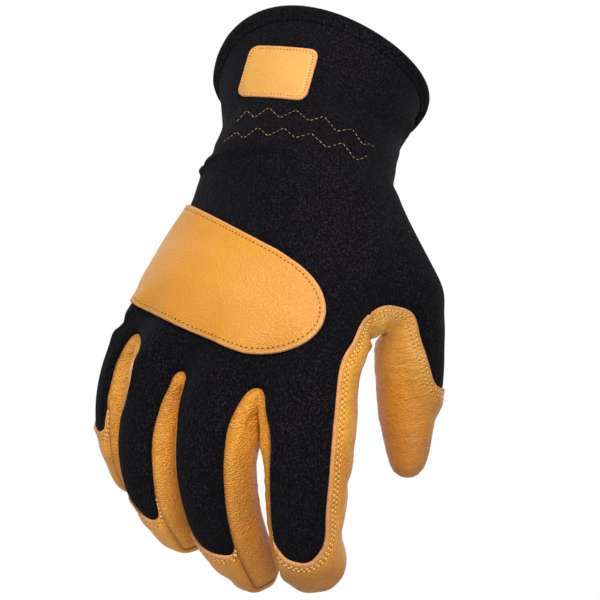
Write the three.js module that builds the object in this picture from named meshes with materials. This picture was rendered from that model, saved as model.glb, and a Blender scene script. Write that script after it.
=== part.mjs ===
// A right-hand slip-on work glove with the form of the hand inside it: knit back and cuff, leather palm
// and fingertips. Millimetres, +Z up. The fingers hang down, the back of the hand faces -Y and the
// thumb is on the +X side. The origin is the middle of the cuff opening.
import * as THREE from "three";

// Wall thicknesses and the clearances between pieces.
const KNIT_THICKNESS = 1.6;
const LEATHER_THICKNESS = 1.4;
const SIDE_STRIP_THICKNESS = 1.1; // of the strips between the fingers
const SEAM_GAP = 0.46;
const SIDE_STRIP_GAP = 0.9; // round these strips and the thumb
const SHARPEST_INSET = 0.3; // a pointed corner is drawn in by at most the gap over this
const PATCH_LIFT = 0.4;
const PATCH_THICKNESS = 1.4;
const LABEL_THICKNESS = 1.1;

// The mesh round the hand: quads across each finger's back, and through the thickness of the hand.
const FINGER_STEPS = 4;
const SIDE_STEPS = 4;
const FINGERS = 4;
const BACK_STEPS = FINGERS * FINGER_STEPS;
const HAND_RING = 2 * BACK_STEPS + 2 * SIDE_STEPS;
const FINGER_RING = 2 * FINGER_STEPS + 2 * SIDE_STEPS;
const SIDE_ANGLE = 25; // how far each side of the hand reaches, above and below its widest line
const STRIP_ANGLE = 48; // half of the knit strip on a finger's back

// Sections of cuff and hand, from the rim to the knuckles. lean tips the back of the ring up, roll
// turns it to the little finger's side, cant lowers the thumb side, cup bends the little finger's side
// away, arch raises the middle of the back edge and thenar thickens the palm at the root of the thumb.
// steps is how many rows of quads lie between this section and the next.
const HAND_SECTIONS = [
  {
    at: "rim", x: -0.4, y: 0, z: 0.8, halfWidth: 44.9, halfDepth: 33, lean: 40, roll: 0, cant: 9,
    cup: 0, arch: 9.2, thenar: 0, steps: 1,
  },
  {
    at: "hem seam", x: -1.2, y: -4, z: -4, halfWidth: 42.1, halfDepth: 32, lean: 40, roll: 0, cant: 8.5,
    cup: 0, arch: 8.5, thenar: 0, steps: 1,
  },
  {
    at: "cuff", x: -2.5, y: -11, z: -12, halfWidth: 39.5, halfDepth: 29.5, lean: 39, roll: 2, cant: 9,
    cup: 0, arch: 5, thenar: 0, steps: 2,
  },
  {
    at: "wrist", x: -6, y: -24, z: -28, halfWidth: 36, halfDepth: 25, lean: 38, roll: 6, cant: 11,
    cup: 0, arch: 0, thenar: 1, steps: 1,
  },
  {
    at: "heel", x: -9.9, y: -34, z: -39.5, halfWidth: 38.7, halfDepth: 24.5, lean: 35, roll: 10, cant: 13,
    cup: 2, arch: 0, thenar: 5, steps: 2,
  },
  {
    at: "upper palm", x: -8.8, y: -43, z: -52, halfWidth: 46.8, halfDepth: 23, lean: 32, roll: 13, cant: 25,
    cup: 5, arch: 0, thenar: 12, steps: 1,
  },
  {
    at: "palm", x: -11.1, y: -50, z: -65, halfWidth: 52.7, halfDepth: 21.5, lean: 31, roll: 15, cant: 31,
    cup: 9, arch: 0, thenar: 17, steps: 2,
  },
  {
    at: "thumb web", x: -18.4, y: -60, z: -82, halfWidth: 58.2, halfDepth: 19.5, lean: 30, roll: 16, cant: 32,
    cup: 13, arch: 0, thenar: 16, steps: 1,
  },
  {
    at: "knuckles", x: -25.2, y: -64, z: -86.7, halfWidth: 54.8, halfDepth: 18, lean: 28, roll: 17, cant: 32,
    cup: 15, arch: 0, thenar: 11, steps: 2,
  },
  {
    at: "finger roots", x: -31.2, y: -69, z: -93, halfWidth: 53.6, halfDepth: 16, lean: 22, roll: 20,
    cant: 25.6,
    cup: 17, arch: 0, thenar: 4, steps: 2,
  },
];
const ARCH_SKEW = 1.2; // the rim is higher on the little finger's side
const PALMWARD = new THREE.Vector3(0, 0.99, 0.15);
const THENAR_ANGLE = 38; // below the widest line of the thumb side
const THENAR_SPREAD = 50;
const HEM_ROW = 1;
const WRIST_ROW = 4;
const THUMB_TOP_ROW = 6;
const THUMB_WEB_ROW = THUMB_TOP_ROW + SIDE_STEPS;
const WEB_LEATHER = 0.3; // quads of the back that are leather between the thumb and the index finger

// Sections of each finger, from the web to the ring that carries the tip's dome. stripEnd is where the
// knit strip on its back ends, in rows from the web. turn rotates the back of the finger to the little
// finger's side, and bend is how far the finger points away from straight down, towards the palm.
const FINGERS_FROM_LITTLE = [
  {
    name: "little",
    stripEnd: 5.2,
    sections: [
      { x: -67.8, y: -42, z: -97, halfWidth: 10.5, halfDepth: 12, turn: 62, bend: -10, steps: 2 },
      { x: -73.6, y: -36.5, z: -112, halfWidth: 12, halfDepth: 12, turn: 76, bend: -2, steps: 2 },
      { x: -76.6, y: -38, z: -127, halfWidth: 11.6, halfDepth: 11.6, turn: 78, bend: 14, steps: 2 },
      { x: -76.8, y: -35, z: -142, halfWidth: 11, halfDepth: 11, turn: 78, bend: 30, steps: 2 },
      { x: -74.3, y: -26.5, z: -155.5, halfWidth: 9.6, halfDepth: 9.2, turn: 76, bend: 42, steps: 0 },
    ],
  },
  {
    name: "ring",
    stripEnd: 6.5,
    sections: [
      { x: -58.5, y: -61, z: -110, halfWidth: 12.5, halfDepth: 13.2, turn: 43, bend: -10, steps: 2 },
      { x: -61.5, y: -60.5, z: -126, halfWidth: 14.2, halfDepth: 13.2, turn: 48, bend: 0, steps: 2 },
      { x: -63.5, y: -60, z: -143, halfWidth: 13.8, halfDepth: 12.8, turn: 48, bend: 14, steps: 2 },
      { x: -61.2, y: -54, z: -160, halfWidth: 12.8, halfDepth: 12.2, turn: 48, bend: 30, steps: 2 },
      { x: -54.5, y: -44, z: -174.5, halfWidth: 11.8, halfDepth: 10.8, turn: 46, bend: 42, steps: 0 },
    ],
  },
  {
    name: "middle",
    stripEnd: 6.7,
    sections: [
      { x: -35.5, y: -78, z: -117.5, halfWidth: 14.4, halfDepth: 13.6, turn: 30, bend: -10, steps: 2 },
      { x: -38.5, y: -80, z: -132, halfWidth: 15.4, halfDepth: 13.6, turn: 35, bend: 0, steps: 2 },
      { x: -39.2, y: -78.5, z: -150, halfWidth: 15, halfDepth: 13.4, turn: 37, bend: 14, steps: 2 },
      { x: -35.8, y: -72, z: -169, halfWidth: 14.2, halfDepth: 12.8, turn: 38, bend: 28, steps: 2 },
      { x: -28.6, y: -61, z: -186, halfWidth: 12.4, halfDepth: 11.4, turn: 38, bend: 40, steps: 0 },
    ],
  },
  {
    name: "index",
    stripEnd: 6.9,
    sections: [
      { x: -5, y: -88.5, z: -119, halfWidth: 16.6, halfDepth: 14, turn: 16, bend: -10, steps: 2 },
      { x: -5.6, y: -91, z: -133, halfWidth: 16.4, halfDepth: 14, turn: 20, bend: 0, steps: 2 },
      { x: -6.4, y: -90, z: -150, halfWidth: 15.3, halfDepth: 13.8, turn: 20, bend: 12, steps: 2 },
      { x: -6.8, y: -84.5, z: -168, halfWidth: 13.8, halfDepth: 12.8, turn: 20, bend: 26, steps: 2 },
      { x: -5, y: -75.5, z: -183.5, halfWidth: 12.8, halfDepth: 11.6, turn: 20, bend: 38, steps: 0 },
    ],
  },
];
const DOME_SHARE = 0.78; // height of a tip's dome, as a share of its ring's mean half width

// Sections of the thumb beyond its root. tilt is how far it points out from straight down. The knit
// wing is given in eighths of a half turn: where its middle lies round the thumb, and half of its
// width.
const THUMB_SECTIONS = [
  {
    x: 33, y: -54, z: -93, halfWidth: 14.6, halfDepth: 16, tilt: 30,
    wingMiddle: 2.5, wingHalf: 3.7, steps: 2,
  },
  {
    x: 32.6, y: -48, z: -106, halfWidth: 13.7, halfDepth: 14.6, tilt: 12,
    wingMiddle: 2, wingHalf: 3.35, steps: 2,
  },
  {
    x: 33, y: -43, z: -119, halfWidth: 13, halfDepth: 13.6, tilt: 4,
    wingMiddle: 2, wingHalf: 2.4, steps: 2,
  },
  {
    x: 32.8, y: -40, z: -133, halfWidth: 11.4, halfDepth: 12.4, tilt: 0,
    wingMiddle: 2, wingHalf: -4, steps: 2,
  },
  {
    x: 32.3, y: -40, z: -149, halfWidth: 7.6, halfDepth: 9.4, tilt: -4,
    wingMiddle: 2, wingHalf: -6, steps: 0,
  },
];

// How many rows the rounded end of a finger's knit strip takes, and how far down the side strips reach,
// in rows.
const STRIP_ROUNDING = 1.4;
const SIDE_STRIP_ROWS = 8;

// Rows from the side of the hand to its smooth root of the thumb, and how far the web between two
// fingers bulges.
const THUMB_ROOT_STEPS = 3;
const WEB_DIP = 3;

// How far the crotch between two fingers lies from the middle between their edges, from the little
// finger on.
const CROTCH_SHIFTS = [
  { x: 1.1, y: 0, z: 1.1 },
  { x: 2.2, y: 0, z: -1.1 },
  { x: 1.1, y: 0, z: -1.8 },
];

// How the skin is drawn smooth: shares by distance from the root of the thumb, its web and the fingers'
// webs.
const ROOT_SLACK = { shares: [0.5, 0.4, 0.2], rounds: 3 };
const THUMB_WEB_SLACK = { shares: [0.7, 0.6, 0.4, 0.2], rounds: 9 };
const FINGER_WEB_SLACK = { shares: [0.7, 0.5, 0.3], rounds: 4 };

// How far the web of the thumb lies from where it is drawn smooth, and the shares of it by links away.
// The second row holds for the web without its two ends.
const THUMB_WEB_SHIFTS = [
  { ends: 0, x: -3.4, y: 0, z: 0 },
  { ends: 1, x: -0.8, y: 0, z: -1.6 },
];
const THUMB_WEB_SHARES = [1, 0.4, 0.15];

const radians = THREE.MathUtils.degToRad;

// The knuckle patch: a tongue whose round end has its middle at x and z, and which widens a little
// towards the little finger's side, where it runs over the edge of the hand. The label: its middle,
// slope, lean and size.
const PATCH = {
  x: -29.8, z: -85.3, slope: radians(25.5), halfWidth: 19, widening: 0.06, end: 30, bendFrom: 10, bend: 0.11,
};
const LABEL = { x: -17.7, z: 1.3, slope: 0.15, shear: 0.25, halfWidth: 13, halfHeight: 10.6, corner: 3 };
const PATCH_MARGIN = 0.3; // in quads, between the patch and the edge of the knit
const KNIT_SCALE = 5; // about the width of a quad

// Frame of a ring: width runs to the thumb side, back points out of the back of the hand and along runs
// to the tips.
function sectionFrame({ lean = 0, roll = 0, cant = 0 }) {
  const tip = radians(lean);
  const turn = radians(roll);
  const slope = radians(cant);
  const side = new THREE.Vector3(1, 0, 0);
  const out = new THREE.Vector3(0, -Math.cos(tip), Math.sin(tip));
  const down = new THREE.Vector3(0, -Math.sin(tip), -Math.cos(tip));
  const width = side.clone().multiplyScalar(Math.cos(turn)).addScaledVector(out, Math.sin(turn));
  const back = out.clone().multiplyScalar(Math.cos(turn)).addScaledVector(side, -Math.sin(turn));
  const canted = width.clone().multiplyScalar(Math.cos(slope)).addScaledVector(down, Math.sin(slope));
  const along = down.clone().multiplyScalar(Math.cos(slope)).addScaledVector(width, -Math.sin(slope));
  return { width: canted, back, along };
}

// Angles round a ring, from the little finger's edge of the back, over the back to the thumb side, then
// the front.
function ringAngles(backSteps, sideAngle) {
  const angles = [];
  const flat = 180 - 2 * sideAngle;
  for (let i = 0; i < backSteps; i++) angles.push(180 - sideAngle - (flat * i) / backSteps);
  for (let i = 0; i < SIDE_STEPS; i++) angles.push(sideAngle - (2 * sideAngle * i) / SIDE_STEPS);
  for (let i = 0; i < backSteps; i++) angles.push(-sideAngle - (flat * i) / backSteps);
  for (let i = 0; i < SIDE_STEPS; i++) angles.push(sideAngle - 180 - (2 * sideAngle * i) / SIDE_STEPS);
  return angles.map(radians);
}

function handRing(section) {
  const { width, back, along } = sectionFrame(section);
  return ringAngles(BACK_STEPS, SIDE_ANGLE).map((angle) => {
    const across = Math.cos(angle);
    const out = Math.sin(angle);
    const bent = section.cup * Math.max(0, -across) ** 2;
    const raised = section.arch * Math.max(0, out) * (1 - ARCH_SKEW * across);
    const fromThenar = (THREE.MathUtils.radToDeg(angle) + THENAR_ANGLE) / THENAR_SPREAD;
    const padded = section.thenar * Math.cos((THREE.MathUtils.clamp(fromThenar, -1, 1) * Math.PI) / 2) ** 2;
    return new THREE.Vector3(section.x, section.y, section.z)
      .addScaledVector(width, section.halfWidth * across)
      .addScaledVector(back, section.halfDepth * out - bent)
      .addScaledVector(PALMWARD, padded)
      .addScaledVector(along, -raised);
  });
}

function fingerRing(section) {
  const { width, back } = sectionFrame({ lean: -section.bend, roll: section.turn });
  return ringAngles(FINGER_STEPS, 90 - STRIP_ANGLE).map((angle) =>
    new THREE.Vector3(section.x, section.y, section.z)
      .addScaledVector(width, section.halfWidth * Math.cos(angle))
      .addScaledVector(back, section.halfDepth * Math.sin(angle)),
  );
}

// Thumb ring: it starts at the far outer corner and runs outside, front, web side and far side.
function thumbRing(section) {
  const tilt = radians(section.tilt);
  const outer = new THREE.Vector3(Math.cos(tilt), 0, Math.sin(tilt));
  const near = new THREE.Vector3(0, -1, 0);
  const ring = [];
  for (let i = 0; i < FINGER_RING; i++) {
    const angle = radians(-45 + (360 * i) / FINGER_RING);
    ring.push(
      new THREE.Vector3(section.x, section.y, section.z)
        .addScaledVector(outer, section.halfWidth * Math.cos(angle))
        .addScaledVector(near, section.halfDepth * Math.sin(angle)),
    );
  }
  return ring;
}

function ringMiddle(ring) {
  return ring.reduce((sum, p) => sum.add(p), new THREE.Vector3()).divideScalar(ring.length);
}

// Rings between the given ones, on a smooth curve through matching points, with the given number of
// steps in each span.
function smoothRings(keys, steps) {
  const middles = keys.map(ringMiddle);
  const place = [0];
  for (let k = 1; k < keys.length; k++)
    place.push(place[k - 1] + middles[k].distanceTo(middles[k - 1]));
  const slope = (k, i) => {
    const before = Math.max(k - 1, 0);
    const after = Math.min(k + 1, keys.length - 1);
    const rise = (a, b) => keys[b][i].clone().sub(keys[a][i]).divideScalar(place[b] - place[a]);
    if (before === k || after === k) return rise(before, after);
    const left = place[k] - place[before];
    const right = place[after] - place[k];
    return rise(before, k)
      .multiplyScalar(right / (left + right))
      .addScaledVector(rise(k, after), left / (left + right));
  };
  const rings = [];
  for (let k = 0; k + 1 < keys.length; k++) {
    const span = place[k + 1] - place[k];
    for (let s = 0; s < steps[k]; s++) {
      const t = s / steps[k];
      rings.push(
        keys[k].map((p, i) =>
          p
            .clone()
            .multiplyScalar(2 * t ** 3 - 3 * t ** 2 + 1)
            .addScaledVector(keys[k + 1][i], 3 * t ** 2 - 2 * t ** 3)
            .addScaledVector(slope(k, i), (t ** 3 - 2 * t ** 2 + t) * span)
            .addScaledVector(slope(k + 1, i), (t ** 3 - t ** 2) * span),
        ),
      );
    }
  }
  rings.push(keys.at(-1));
  return rings;
}

// A column of the tables, read at every row that smoothRings makes.
function spreadColumn(sections, name, first) {
  const values = first === undefined ? [] : [first];
  values.push(...sections.map((section) => section[name]));
  const steps = first === undefined ? [] : [THUMB_ROOT_STEPS];
  steps.push(...sections.map((section) => section.steps));
  const spread = [];
  for (let k = 0; k + 1 < values.length; k++)
    for (let s = 0; s < steps[k]; s++)
      spread.push(THREE.MathUtils.lerp(values[k], values[k + 1], s / steps[k]));
  spread.push(values.at(-1));
  return spread;
}

// The whole skin is one mesh of points and triangles. knit is above zero where a point lies on the knit
// back.
const skin = { points: [], knit: [], links: [], faces: [] };

function addPoint(point, knit) {
  skin.points.push(point);
  skin.knit.push(knit);
  skin.links.push(new Set());
  return skin.points.length - 1;
}

function addQuad(a, b, c, d, leatherPiece, flip = false) {
  const [p, q, r, s] = flip ? [d, c, b, a] : [a, b, c, d];
  const { points } = skin;
  const shortFirst = points[p].distanceTo(points[r]) <= points[q].distanceTo(points[s]);
  const pair = shortFirst ? [[p, q, r], [p, r, s]] : [[p, q, s], [q, r, s]];
  for (const corners of pair) skin.faces.push({ corners, leatherPiece });
  const sides = [[a, b], [b, c], [c, d], [d, a]];
  for (const [from, to] of sides) {
    skin.links[from].add(to);
    skin.links[to].add(from);
  }
}

// Points of the skin near the given ones, with how many links away each lies.
function linksAway(seeds, reach) {
  const steps = new Map(seeds.map((id) => [id, 0]));
  for (const [id, step] of steps) {
    if (step + 1 === reach) continue;
    for (const other of skin.links[id]) if (!steps.has(other)) steps.set(other, step + 1);
  }
  return steps;
}

// Draws the skin smooth near the given points. Each round moves a point towards the middle of its
// neighbours, by a share that depends on how many links away from the given points it lies.
function relaxNear(seeds, { shares, rounds }, pinned) {
  const steps = linksAway(seeds, shares.length);
  for (let round = 0; round < rounds; round++) {
    const moved = new Map();
    for (const [id, step] of steps) {
      if (pinned(id)) continue;
      const around = ringMiddle([...skin.links[id]].map((other) => skin.points[other]));
      moved.set(id, skin.points[id].clone().lerp(around, shares[step]));
    }
    for (const [id, place] of moved) skin.points[id] = place;
  }
}

// Shifts the skin near the given points, by shares that depend on the links away.
function shiftNear(seeds, shift, shares) {
  for (const [id, step] of linksAway(seeds, shares.length))
    skin.points[id] = skin.points[id].clone().addScaledVector(shift, shares[step]);
}

// How far a point of the hand lies inside the knit back, in quads.
function handKnit(row, i, webRow) {
  const cuffSide = 3.9;
  const handShare = THREE.MathUtils.clamp((row - WRIST_ROW) / (webRow - WRIST_ROW), 0, 1);
  const thumbShare = THREE.MathUtils.clamp((row - WRIST_ROW) / (THUMB_TOP_ROW - WRIST_ROW), 0, 1);
  const littleEdge = 3 * (1 - handShare ** 2);
  const thumbEdge = row <= THUMB_TOP_ROW
    ? THREE.MathUtils.lerp(cuffSide, SIDE_STEPS, thumbShare)
    : Math.max(0, (THUMB_WEB_ROW - row) / SIDE_STEPS) - (row === THUMB_WEB_ROW + 1 ? WEB_LEATHER : 0);
  const pastThumbEdge = i - BACK_STEPS;
  const pastLittleEdge = HAND_RING - i;
  if (i <= BACK_STEPS) {
    const finger = i % FINGER_STEPS;
    if (row === webRow) return stripKnit(finger, 0, FINGER_RING);
    return Math.min(i + littleEdge, thumbEdge - pastThumbEdge);
  }
  if (pastThumbEdge <= SIDE_STEPS) return thumbEdge - pastThumbEdge;
  if (pastLittleEdge <= SIDE_STEPS) return littleEdge - pastLittleEdge;
  return -1;
}

// The same on a finger, whose strip has a rounded end.
function stripKnit(column, row, stripEnd) {
  const inside = 1 - Math.abs(1 - (2 * Math.min(column, FINGER_STEPS - column)) / FINGER_STEPS) ** 3;
  if (column > FINGER_STEPS) return -1;
  return inside - Math.max(0, (row - stripEnd + STRIP_ROUNDING) / STRIP_ROUNDING) ** 3;
}

// A dome that closes a tube, as a square grid inside its last ring.
function addDome(ringIds, outward, height, knit, leatherPiece, flip) {
  const size = FINGER_STEPS;
  const rim = (row, column) => {
    if (row === 0) return column;
    if (column === size) return size + row;
    if (row === size) return 3 * size - column;
    return (FINGER_RING - row) % FINGER_RING;
  };
  const middle = ringMiddle(ringIds.map((id) => skin.points[id].clone()));
  const grid = [];
  for (let row = 0; row <= size; row++) {
    grid.push([]);
    for (let column = 0; column <= size; column++) {
      const across = (2 * column) / size - 1;
      const deep = (2 * row) / size - 1;
      const share = Math.max(Math.abs(across), Math.abs(deep));
      if (share === 1) {
        grid[row].push(ringIds[rim(row, column)]);
        continue;
      }
      const edgeRow = share ? Math.round(((deep / share + 1) * size) / 2) : 0;
      const edgeColumn = share ? Math.round(((across / share + 1) * size) / 2) : 0;
      const edge = skin.points[ringIds[rim(edgeRow, edgeColumn)]];
      const point = middle.clone().lerp(edge, share ? Math.sin((share * Math.PI) / 2) * 0.92 : 0);
      point.addScaledVector(outward, height * Math.cos((share * Math.PI) / 2));
      grid[row].push(addPoint(point, knit));
    }
  }
  for (let row = 0; row < size; row++)
    for (let column = 0; column < size; column++)
      addQuad(
        grid[row][column], grid[row + 1][column], grid[row + 1][column + 1], grid[row][column + 1],
        leatherPiece, flip,
      );
}

// The hand's last ring is made from the fingers' first ones: neighbours meet halfway between their edges.
function webRing(fingerRings) {
  const ring = [];
  const corner = (finger, column) => fingerRings[finger][column];
  const meet = (finger, near, far) =>
    corner(finger, near).clone().lerp(corner(finger + 1, far), 0.5).add(CROTCH_SHIFTS[finger]);
  const [backNear, backFar] = [FINGER_STEPS, 0];
  const frontNear = FINGER_STEPS + SIDE_STEPS;
  const frontFar = 2 * FINGER_STEPS + SIDE_STEPS;
  for (let finger = 0; finger < FINGERS; finger++)
    for (let column = 0; column < FINGER_STEPS; column++)
      ring.push(column || !finger ? corner(finger, column).clone() : meet(finger - 1, backNear, backFar));
  for (let column = FINGER_STEPS; column < frontNear; column++)
    ring.push(corner(FINGERS - 1, column).clone());
  for (let finger = FINGERS - 1; finger >= 0; finger--)
    for (let column = 0; column < FINGER_STEPS; column++)
      ring.push(
        column || finger === FINGERS - 1
          ? corner(finger, frontNear + column).clone()
          : meet(finger, frontNear, frontFar),
      );
  for (let column = frontFar; column < FINGER_RING; column++) ring.push(corner(0, column).clone());
  return ring;
}

function buildHand(fingerRings) {
  const keys = HAND_SECTIONS.map(handRing);
  keys.push(webRing(fingerRings));
  const rings = smoothRings(keys, HAND_SECTIONS.map((section) => section.steps));
  const webRow = rings.length - 1;
  const ids = rings.map((ring, row) =>
    ring.map((point, i) => {
      const besideThumb = row > THUMB_TOP_ROW && row < THUMB_WEB_ROW;
      const inThumbRoot = besideThumb && i > BACK_STEPS && i < BACK_STEPS + SIDE_STEPS;
      return inThumbRoot || row < HEM_ROW ? -1 : addPoint(point, handKnit(row, i, webRow));
    }),
  );
  for (let row = HEM_ROW; row < webRow; row++)
    for (let i = 0; i < HAND_RING; i++) {
      const besideThumb = row >= THUMB_TOP_ROW && row < THUMB_WEB_ROW;
      if (besideThumb && i >= BACK_STEPS && i < BACK_STEPS + SIDE_STEPS) continue;
      const next = (i + 1) % HAND_RING;
      addQuad(
        ids[row][i], ids[row + 1][i], ids[row + 1][next], ids[row][next],
        row < WRIST_ROW ? "cuff_underside" : "palm_panel",
      );
    }
  return { rings, ids, webRow };
}

// Points through the thickness of the hand between two neighbouring fingers.
function buildWeb(hand, finger) {
  const column = (finger + 1) * FINGER_STEPS;
  const backId = hand.ids[hand.webRow][column];
  const frontId = hand.ids[hand.webRow][2 * BACK_STEPS + SIDE_STEPS - column];
  const ids = [backId];
  for (let i = 1; i < SIDE_STEPS; i++) {
    const t = i / SIDE_STEPS;
    const point = skin.points[backId].clone().lerp(skin.points[frontId], t);
    point.z -= WEB_DIP * 4 * t * (1 - t);
    ids.push(addPoint(point, -1));
  }
  ids.push(frontId);
  return ids;
}

function buildFinger(finger, hand, webs) {
  const { sections, stripEnd } = FINGERS_FROM_LITTLE[finger];
  const nameOf = (number) => FINGERS_FROM_LITTLE[number].name;
  const webIds = hand.ids[hand.webRow];
  const base = [];
  const backStart = finger * FINGER_STEPS;
  const frontStart = 2 * BACK_STEPS + SIDE_STEPS - backStart - FINGER_STEPS;
  const last = FINGERS - 1;
  for (let i = 0; i < FINGER_STEPS; i++) base.push(webIds[backStart + i]);
  for (let i = 0; i < SIDE_STEPS; i++) base.push(finger < last ? webs[finger][i] : webIds[BACK_STEPS + i]);
  for (let i = 0; i < FINGER_STEPS; i++) base.push(webIds[frontStart + i]);
  for (let i = 0; i < SIDE_STEPS; i++)
    base.push(finger > 0 ? webs[finger - 1][SIDE_STEPS - i] : webIds[HAND_RING - SIDE_STEPS + i]);
  const keys = [base.map((id) => skin.points[id]), ...sections.slice(1).map(fingerRing)];
  const rings = smoothRings(keys, sections.map((section) => section.steps));
  const ids = rings.map((ring, row) =>
    row === 0 ? base : ring.map((point, i) => addPoint(point, stripKnit(i, row, stripEnd))),
  );
  const sides = [
    finger < last ? `fourchette_${nameOf(finger)}_${nameOf(finger + 1)}` : "palm_panel",
    finger > 0 ? `fourchette_${nameOf(finger - 1)}_${nameOf(finger)}` : "palm_panel",
  ];
  for (let row = 0; row + 1 < rings.length; row++)
    for (let i = 0; i < FINGER_RING; i++) {
      const next = (i + 1) % FINGER_RING;
      const face = Math.floor(i / FINGER_STEPS);
      const side = face % 2 && row < SIDE_STRIP_ROWS ? sides[(face - 1) / 2] : "palm_panel";
      addQuad(ids[row][i], ids[row + 1][i], ids[row + 1][next], ids[row][next], side);
    }
  const end = sections.at(-1);
  const { along } = sectionFrame({ lean: -end.bend, roll: end.turn });
  const height = (DOME_SHARE * (end.halfWidth + end.halfDepth)) / 2;
  addDome(ids.at(-1), along, height, -1, "palm_panel", false);
}

function buildThumb(hand) {
  const base = [];
  const thumbColumn = BACK_STEPS + SIDE_STEPS;
  for (let i = 0; i < SIDE_STEPS; i++) base.push(hand.ids[THUMB_TOP_ROW][thumbColumn - i]);
  for (let i = 0; i < SIDE_STEPS; i++) base.push(hand.ids[THUMB_TOP_ROW + i][BACK_STEPS]);
  for (let i = 0; i < SIDE_STEPS; i++) base.push(hand.ids[THUMB_WEB_ROW][BACK_STEPS + i]);
  for (let i = 0; i < SIDE_STEPS; i++) base.push(hand.ids[THUMB_WEB_ROW - i][thumbColumn]);
  const keys = [base.map((id) => skin.points[id]), ...THUMB_SECTIONS.map(thumbRing)];
  const steps = [THUMB_ROOT_STEPS, ...THUMB_SECTIONS.map((section) => section.steps)];
  const rings = smoothRings(keys, steps);
  const middle = spreadColumn(THUMB_SECTIONS, "wingMiddle", SIDE_STEPS);
  const half = spreadColumn(THUMB_SECTIONS, "wingHalf", SIDE_STEPS);
  const knit = (row, i) => {
    const apart = Math.abs(i - middle[row]);
    return half[row] - Math.min(apart, FINGER_RING - apart);
  };
  const ids = rings.map((ring, row) =>
    row === 0 ? base : ring.map((point, i) => addPoint(point, knit(row, i))),
  );
  for (let row = 0; row + 1 < rings.length; row++)
    for (let i = 0; i < FINGER_RING; i++) {
      const next = (i + 1) % FINGER_RING;
      addQuad(ids[row][i], ids[row + 1][i], ids[row + 1][next], ids[row][next], "thumb_panel", true);
    }
  const end = THUMB_SECTIONS.at(-1);
  const tilt = radians(end.tilt);
  const outward = new THREE.Vector3(Math.sin(tilt), 0, -Math.cos(tilt));
  addDome(ids.at(-1), outward, DOME_SHARE * end.halfDepth, -1, "thumb_panel", true);
  return base;
}

function pointNormals(points, faces) {
  const normals = points.map(() => new THREE.Vector3());
  for (const { corners } of faces) {
    const [a, b, c] = corners.map((id) => points[id]);
    const normal = b.clone().sub(a).cross(c.clone().sub(a));
    for (const id of corners) normals[id].add(normal);
  }
  return normals.map((normal) => normal.normalize());
}

// Cuts triangles along the line where field is zero. New points are added to points and normals.
function splitByField(points, normals, field, faces) {
  const SNAP = 0.12;
  for (const { corners } of faces)
    for (let i = 0; i < 3; i++) {
      const [a, b] = [corners[i], corners[(i + 1) % 3]];
      if (field[a] * field[b] >= 0) continue;
      const t = field[a] / (field[a] - field[b]);
      if (t < SNAP) field[a] = 0;
      else if (t > 1 - SNAP) field[b] = 0;
    }
  const made = new Map();
  const crossing = (a, b) => {
    const key = a < b ? `${a},${b}` : `${b},${a}`;
    if (!made.has(key)) {
      const t = field[a] / (field[a] - field[b]);
      points.push(points[a].clone().lerp(points[b], t));
      normals.push(normals[a].clone().lerp(normals[b], t).normalize());
      field.push(0);
      made.set(key, points.length - 1);
    }
    return made.get(key);
  };
  const result = [];
  for (const face of faces) {
    const cycle = [];
    face.corners.forEach((a, i) => {
      const b = face.corners[(i + 1) % 3];
      cycle.push(a);
      if (field[a] * field[b] < 0) cycle.push(crossing(a, b));
    });
    for (const sign of [1, -1]) {
      const part = cycle.filter((id) => sign * field[id] >= 0);
      if (!part.some((id) => sign * field[id] > 0)) continue;
      for (let i = 1; i + 1 < part.length; i++)
        result.push({ ...face, corners: [part[0], part[i], part[i + 1]], inside: sign > 0 });
    }
  }
  return result;
}

// Each triangle in four, all in its own plane.
function quarterFaces(points, normals, field, faces) {
  const made = new Map();
  const halfway = (a, b) => {
    const key = a < b ? `${a},${b}` : `${b},${a}`;
    if (!made.has(key)) {
      points.push(points[a].clone().lerp(points[b], 0.5));
      normals.push(normals[a].clone().lerp(normals[b], 0.5).normalize());
      field.push((field[a] + field[b]) / 2);
      made.set(key, points.length - 1);
    }
    return made.get(key);
  };
  return faces.flatMap((face) => {
    const [a, b, c] = face.corners;
    const [ab, bc, ca] = [halfway(a, b), halfway(b, c), halfway(c, a)];
    return [[a, ab, ca], [ab, b, bc], [ca, bc, c], [ab, bc, ca]].map((corners) => ({ ...face, corners }));
  });
}

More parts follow.
